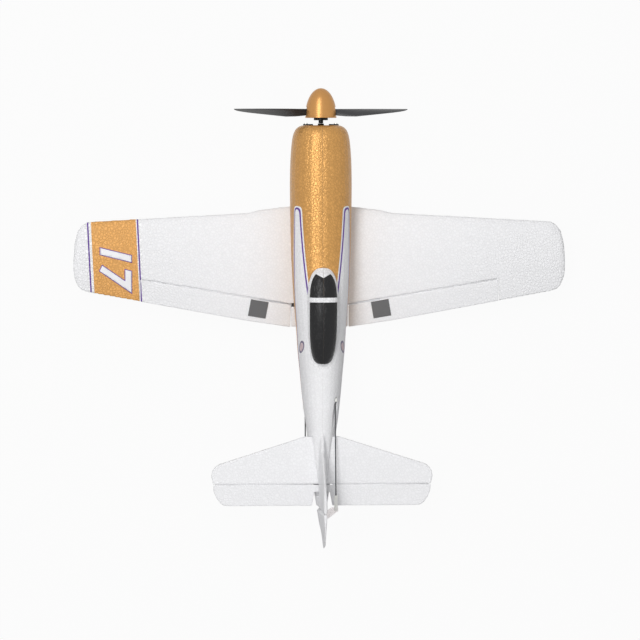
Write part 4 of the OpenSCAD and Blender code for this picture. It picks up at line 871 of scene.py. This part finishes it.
# %% Number film
WING_NUMBER = "17"
DIGIT_HEIGHT = 34 * MM
NUMBER_AT = (-166.8 * MM, 43.5 * MM, 0)
FILM_THICKNESS = 0.08 * MM
CUTS = range(-210, 100, 2)


def flat_digits(name, swell):
    """The digits as a flat mesh in their place, each stroke wider by swell on both sides."""
    text = bpy.data.curves.new(name, "FONT")
    text.body = WING_NUMBER
    text.size = DIGIT_HEIGHT
    text.shear = 0.25
    text.offset = swell
    text.align_x = "CENTER"
    text.align_y = "CENTER"
    text.space_character = 1.05
    letters = bpy.data.objects.new(name + "_text", text)
    bpy.context.scene.collection.objects.link(letters)
    bpy.context.view_layer.update()
    mesh = bpy.data.meshes.new_from_object(letters.evaluated_get(bpy.context.evaluated_depsgraph_get()))
    bpy.data.objects.remove(letters)
    mesh.transform(Matrix.Translation(NUMBER_AT) @ Matrix.Rotation(-math.pi / 2, 4, "Z"))
    return mesh


def film_number(name, swell, lift, material):
    """Lays the digits on the wing's top, lifted clear of it, and gives them a thickness."""
    mesh = flat_digits(name, swell)
    work = bmesh.new()
    work.from_mesh(mesh)
    bmesh.ops.remove_doubles(work, verts=work.verts, dist=0.01 * MM)
    for axis in (Vector((1, 0, 0)), Vector((0, 1, 0))):
        for step in CUTS:
            bmesh.ops.bisect_plane(work, geom=work.verts[:] + work.edges[:] + work.faces[:],
                                   plane_co=axis * step * MM, plane_no=axis)
    wing_mesh = foam["wing"].data
    surface = BVHTree.FromPolygons([v.co for v in wing_mesh.vertices],
                                   [f.vertices for f in wing_mesh.polygons])
    for vert in work.verts:
        hit = surface.ray_cast(Vector((vert.co.x, vert.co.y, 0.1)), Vector((0, 0, -1)))
        vert.co.z = hit[0].z + lift if hit[0] else vert.co.z
    bmesh.ops.recalc_face_normals(work, faces=work.faces)
    work.to_mesh(mesh)
    work.free()
    mesh.name = name
    piece = bpy.data.objects.new(name, mesh)
    bpy.context.scene.collection.objects.link(piece)
    thick = piece.modifiers.new("film", "SOLIDIFY")
    thick.thickness = FILM_THICKNESS
    thick.offset = 0
    settle(piece)
    print(name, len(piece.data.polygons), "faces")
    return dress(piece, material, "airframe")


# cut vinyl: flat colour with a soft sheen
purple_film = moulded_plastic("purple_vinyl_film", PURPLE, 0.45, 0.5, 0.02, 0.03)
white_film = moulded_plastic("white_vinyl_film", "EDEDF0", 0.45, 0.5, 0.02, 0.03)
film_number("wing_number_backing", 1.5 * MM, 0.05 * MM, purple_film)
film_number("wing_number_face", 0.9 * MM, 0.14 * MM, white_film)

# %% [markdown]
# ## The floor
# The model lies on a pale sweep. More light would bleach the white foam, so the floor answers the rays that
# the camera sends, straight or by way of a gloss, with a glow of its own. It stays near white, and the small
# rest of its answer is a plain matt surface that takes the model's soft shadow.

# %% Floor
WHITE = (1.0, 1.0, 1.0, 1.0)
FLOOR_GREY = (0.4, 0.4, 0.4, 1.0)
FLOOR_GLOW_SHARE = 0.95
UNDER_BELLY = 0.2 * MM


def seen_directly(tree, rays):
    """1 for what the camera sees, straight or in a gloss or a clear part."""
    mirrored = add(tree, MATH, [rays.outputs["Is Camera Ray"], rays.outputs["Is Glossy Ray"]],
                   operation="MAXIMUM")
    return add(tree, MATH, [mirrored, rays.outputs["Is Transmission Ray"]], operation="MAXIMUM")


def pale_floor():
    """A wide sheet just under the belly."""
    work = bmesh.new()
    bmesh.ops.create_grid(work, x_segments=2, y_segments=2, size=6)
    bmesh.ops.translate(work, vec=(0, 0, -UNDER_BELLY), verts=work.verts)
    mesh = bpy.data.meshes.new("floor")
    work.to_mesh(mesh)
    work.free()
    floor = bpy.data.objects.new("floor", mesh)
    bpy.context.scene.collection.objects.link(floor)
    material, tree, shader, _ = start_finish("pale_floor")
    feed(tree, shader, Base_Color=FLOOR_GREY, Roughness=0.9, Specular_IOR_Level=0.0)
    glow = add(tree, "ShaderNodeEmission", {"Color": WHITE, "Strength": 1.0})
    seen = seen_directly(tree, add(tree, "ShaderNodeLightPath"))
    share = add(tree, MATH, [seen, FLOOR_GLOW_SHARE], operation="MULTIPLY")
    both = add(tree, "ShaderNodeMixShader", [share, shader.outputs["BSDF"], glow])
    output = next(node for node in tree.nodes if node.bl_idname == "ShaderNodeOutputMaterial")
    tree.links.new(both.outputs[0], output.inputs["Surface"])
    floor.data.materials.append(material)


pale_floor()
print("floor", round(UNDER_BELLY / MM, 1), "mm under the belly")

# %% [markdown]
# ## Room and lamps
# The room is a white box that is darker near the floor: it lights the model with a gradient from above, while
# the camera and the glosses see plain white. A long soft box on the left, turned along the fuselage,
# rounds the nose and leaves a faint shade on the right. A weak fill keeps that side open.

# %% World and soft boxes
ROOM_LOW = 0.06
ROOM_HIGH = 0.74


def white_room():
    """The world: a gradient for the light, plain white for what is seen."""
    world = bpy.data.worlds.new("studio")
    bpy.context.scene.world = world
    world.use_nodes = True
    tree = world.node_tree
    tree.nodes.clear()
    rays = add(tree, "ShaderNodeLightPath")
    sky = add(tree, "ShaderNodeSeparateXYZ", [add(tree, "ShaderNodeTexCoord").outputs["Generated"]])
    ceiling = add(tree, "ShaderNodeMapRange", [sky.outputs["Z"], 0.0, 1.0, ROOM_LOW, ROOM_HIGH])
    room = add(tree, "ShaderNodeBackground", {"Color": WHITE, "Strength": ceiling})
    backdrop = add(tree, "ShaderNodeBackground", {"Color": WHITE, "Strength": 1.0})
    shown = add(tree, "ShaderNodeMixShader", [seen_directly(tree, rays), room, backdrop])
    add(tree, "ShaderNodeOutputWorld", {"Surface": shown})


def soft_box(name, place, width, length, power):
    """A lamp that faces the model, with its length along the fuselage."""
    data = bpy.data.lights.new(name, "AREA")
    data.shape = "RECTANGLE"
    data.size = width
    data.size_y = length
    data.energy = power
    lamp = bpy.data.objects.new(name, data)
    bpy.context.scene.collection.objects.link(lamp)
    facing = Vector(place).normalized()
    across = Vector((0, 1, 0)).cross(facing).normalized()
    turn = Matrix((across, facing.cross(across), facing)).transposed().to_4x4()
    lamp.matrix_world = Matrix.Translation(place) @ turn
    print(name, power, "W")


white_room()
soft_box("key_soft_box", (-0.6, 0.7, 1.8), 0.6, 2.2, 24.0)
soft_box("fill_soft_box", (1.4, -0.4, 1.4), 1.2, 1.6, 1.0)
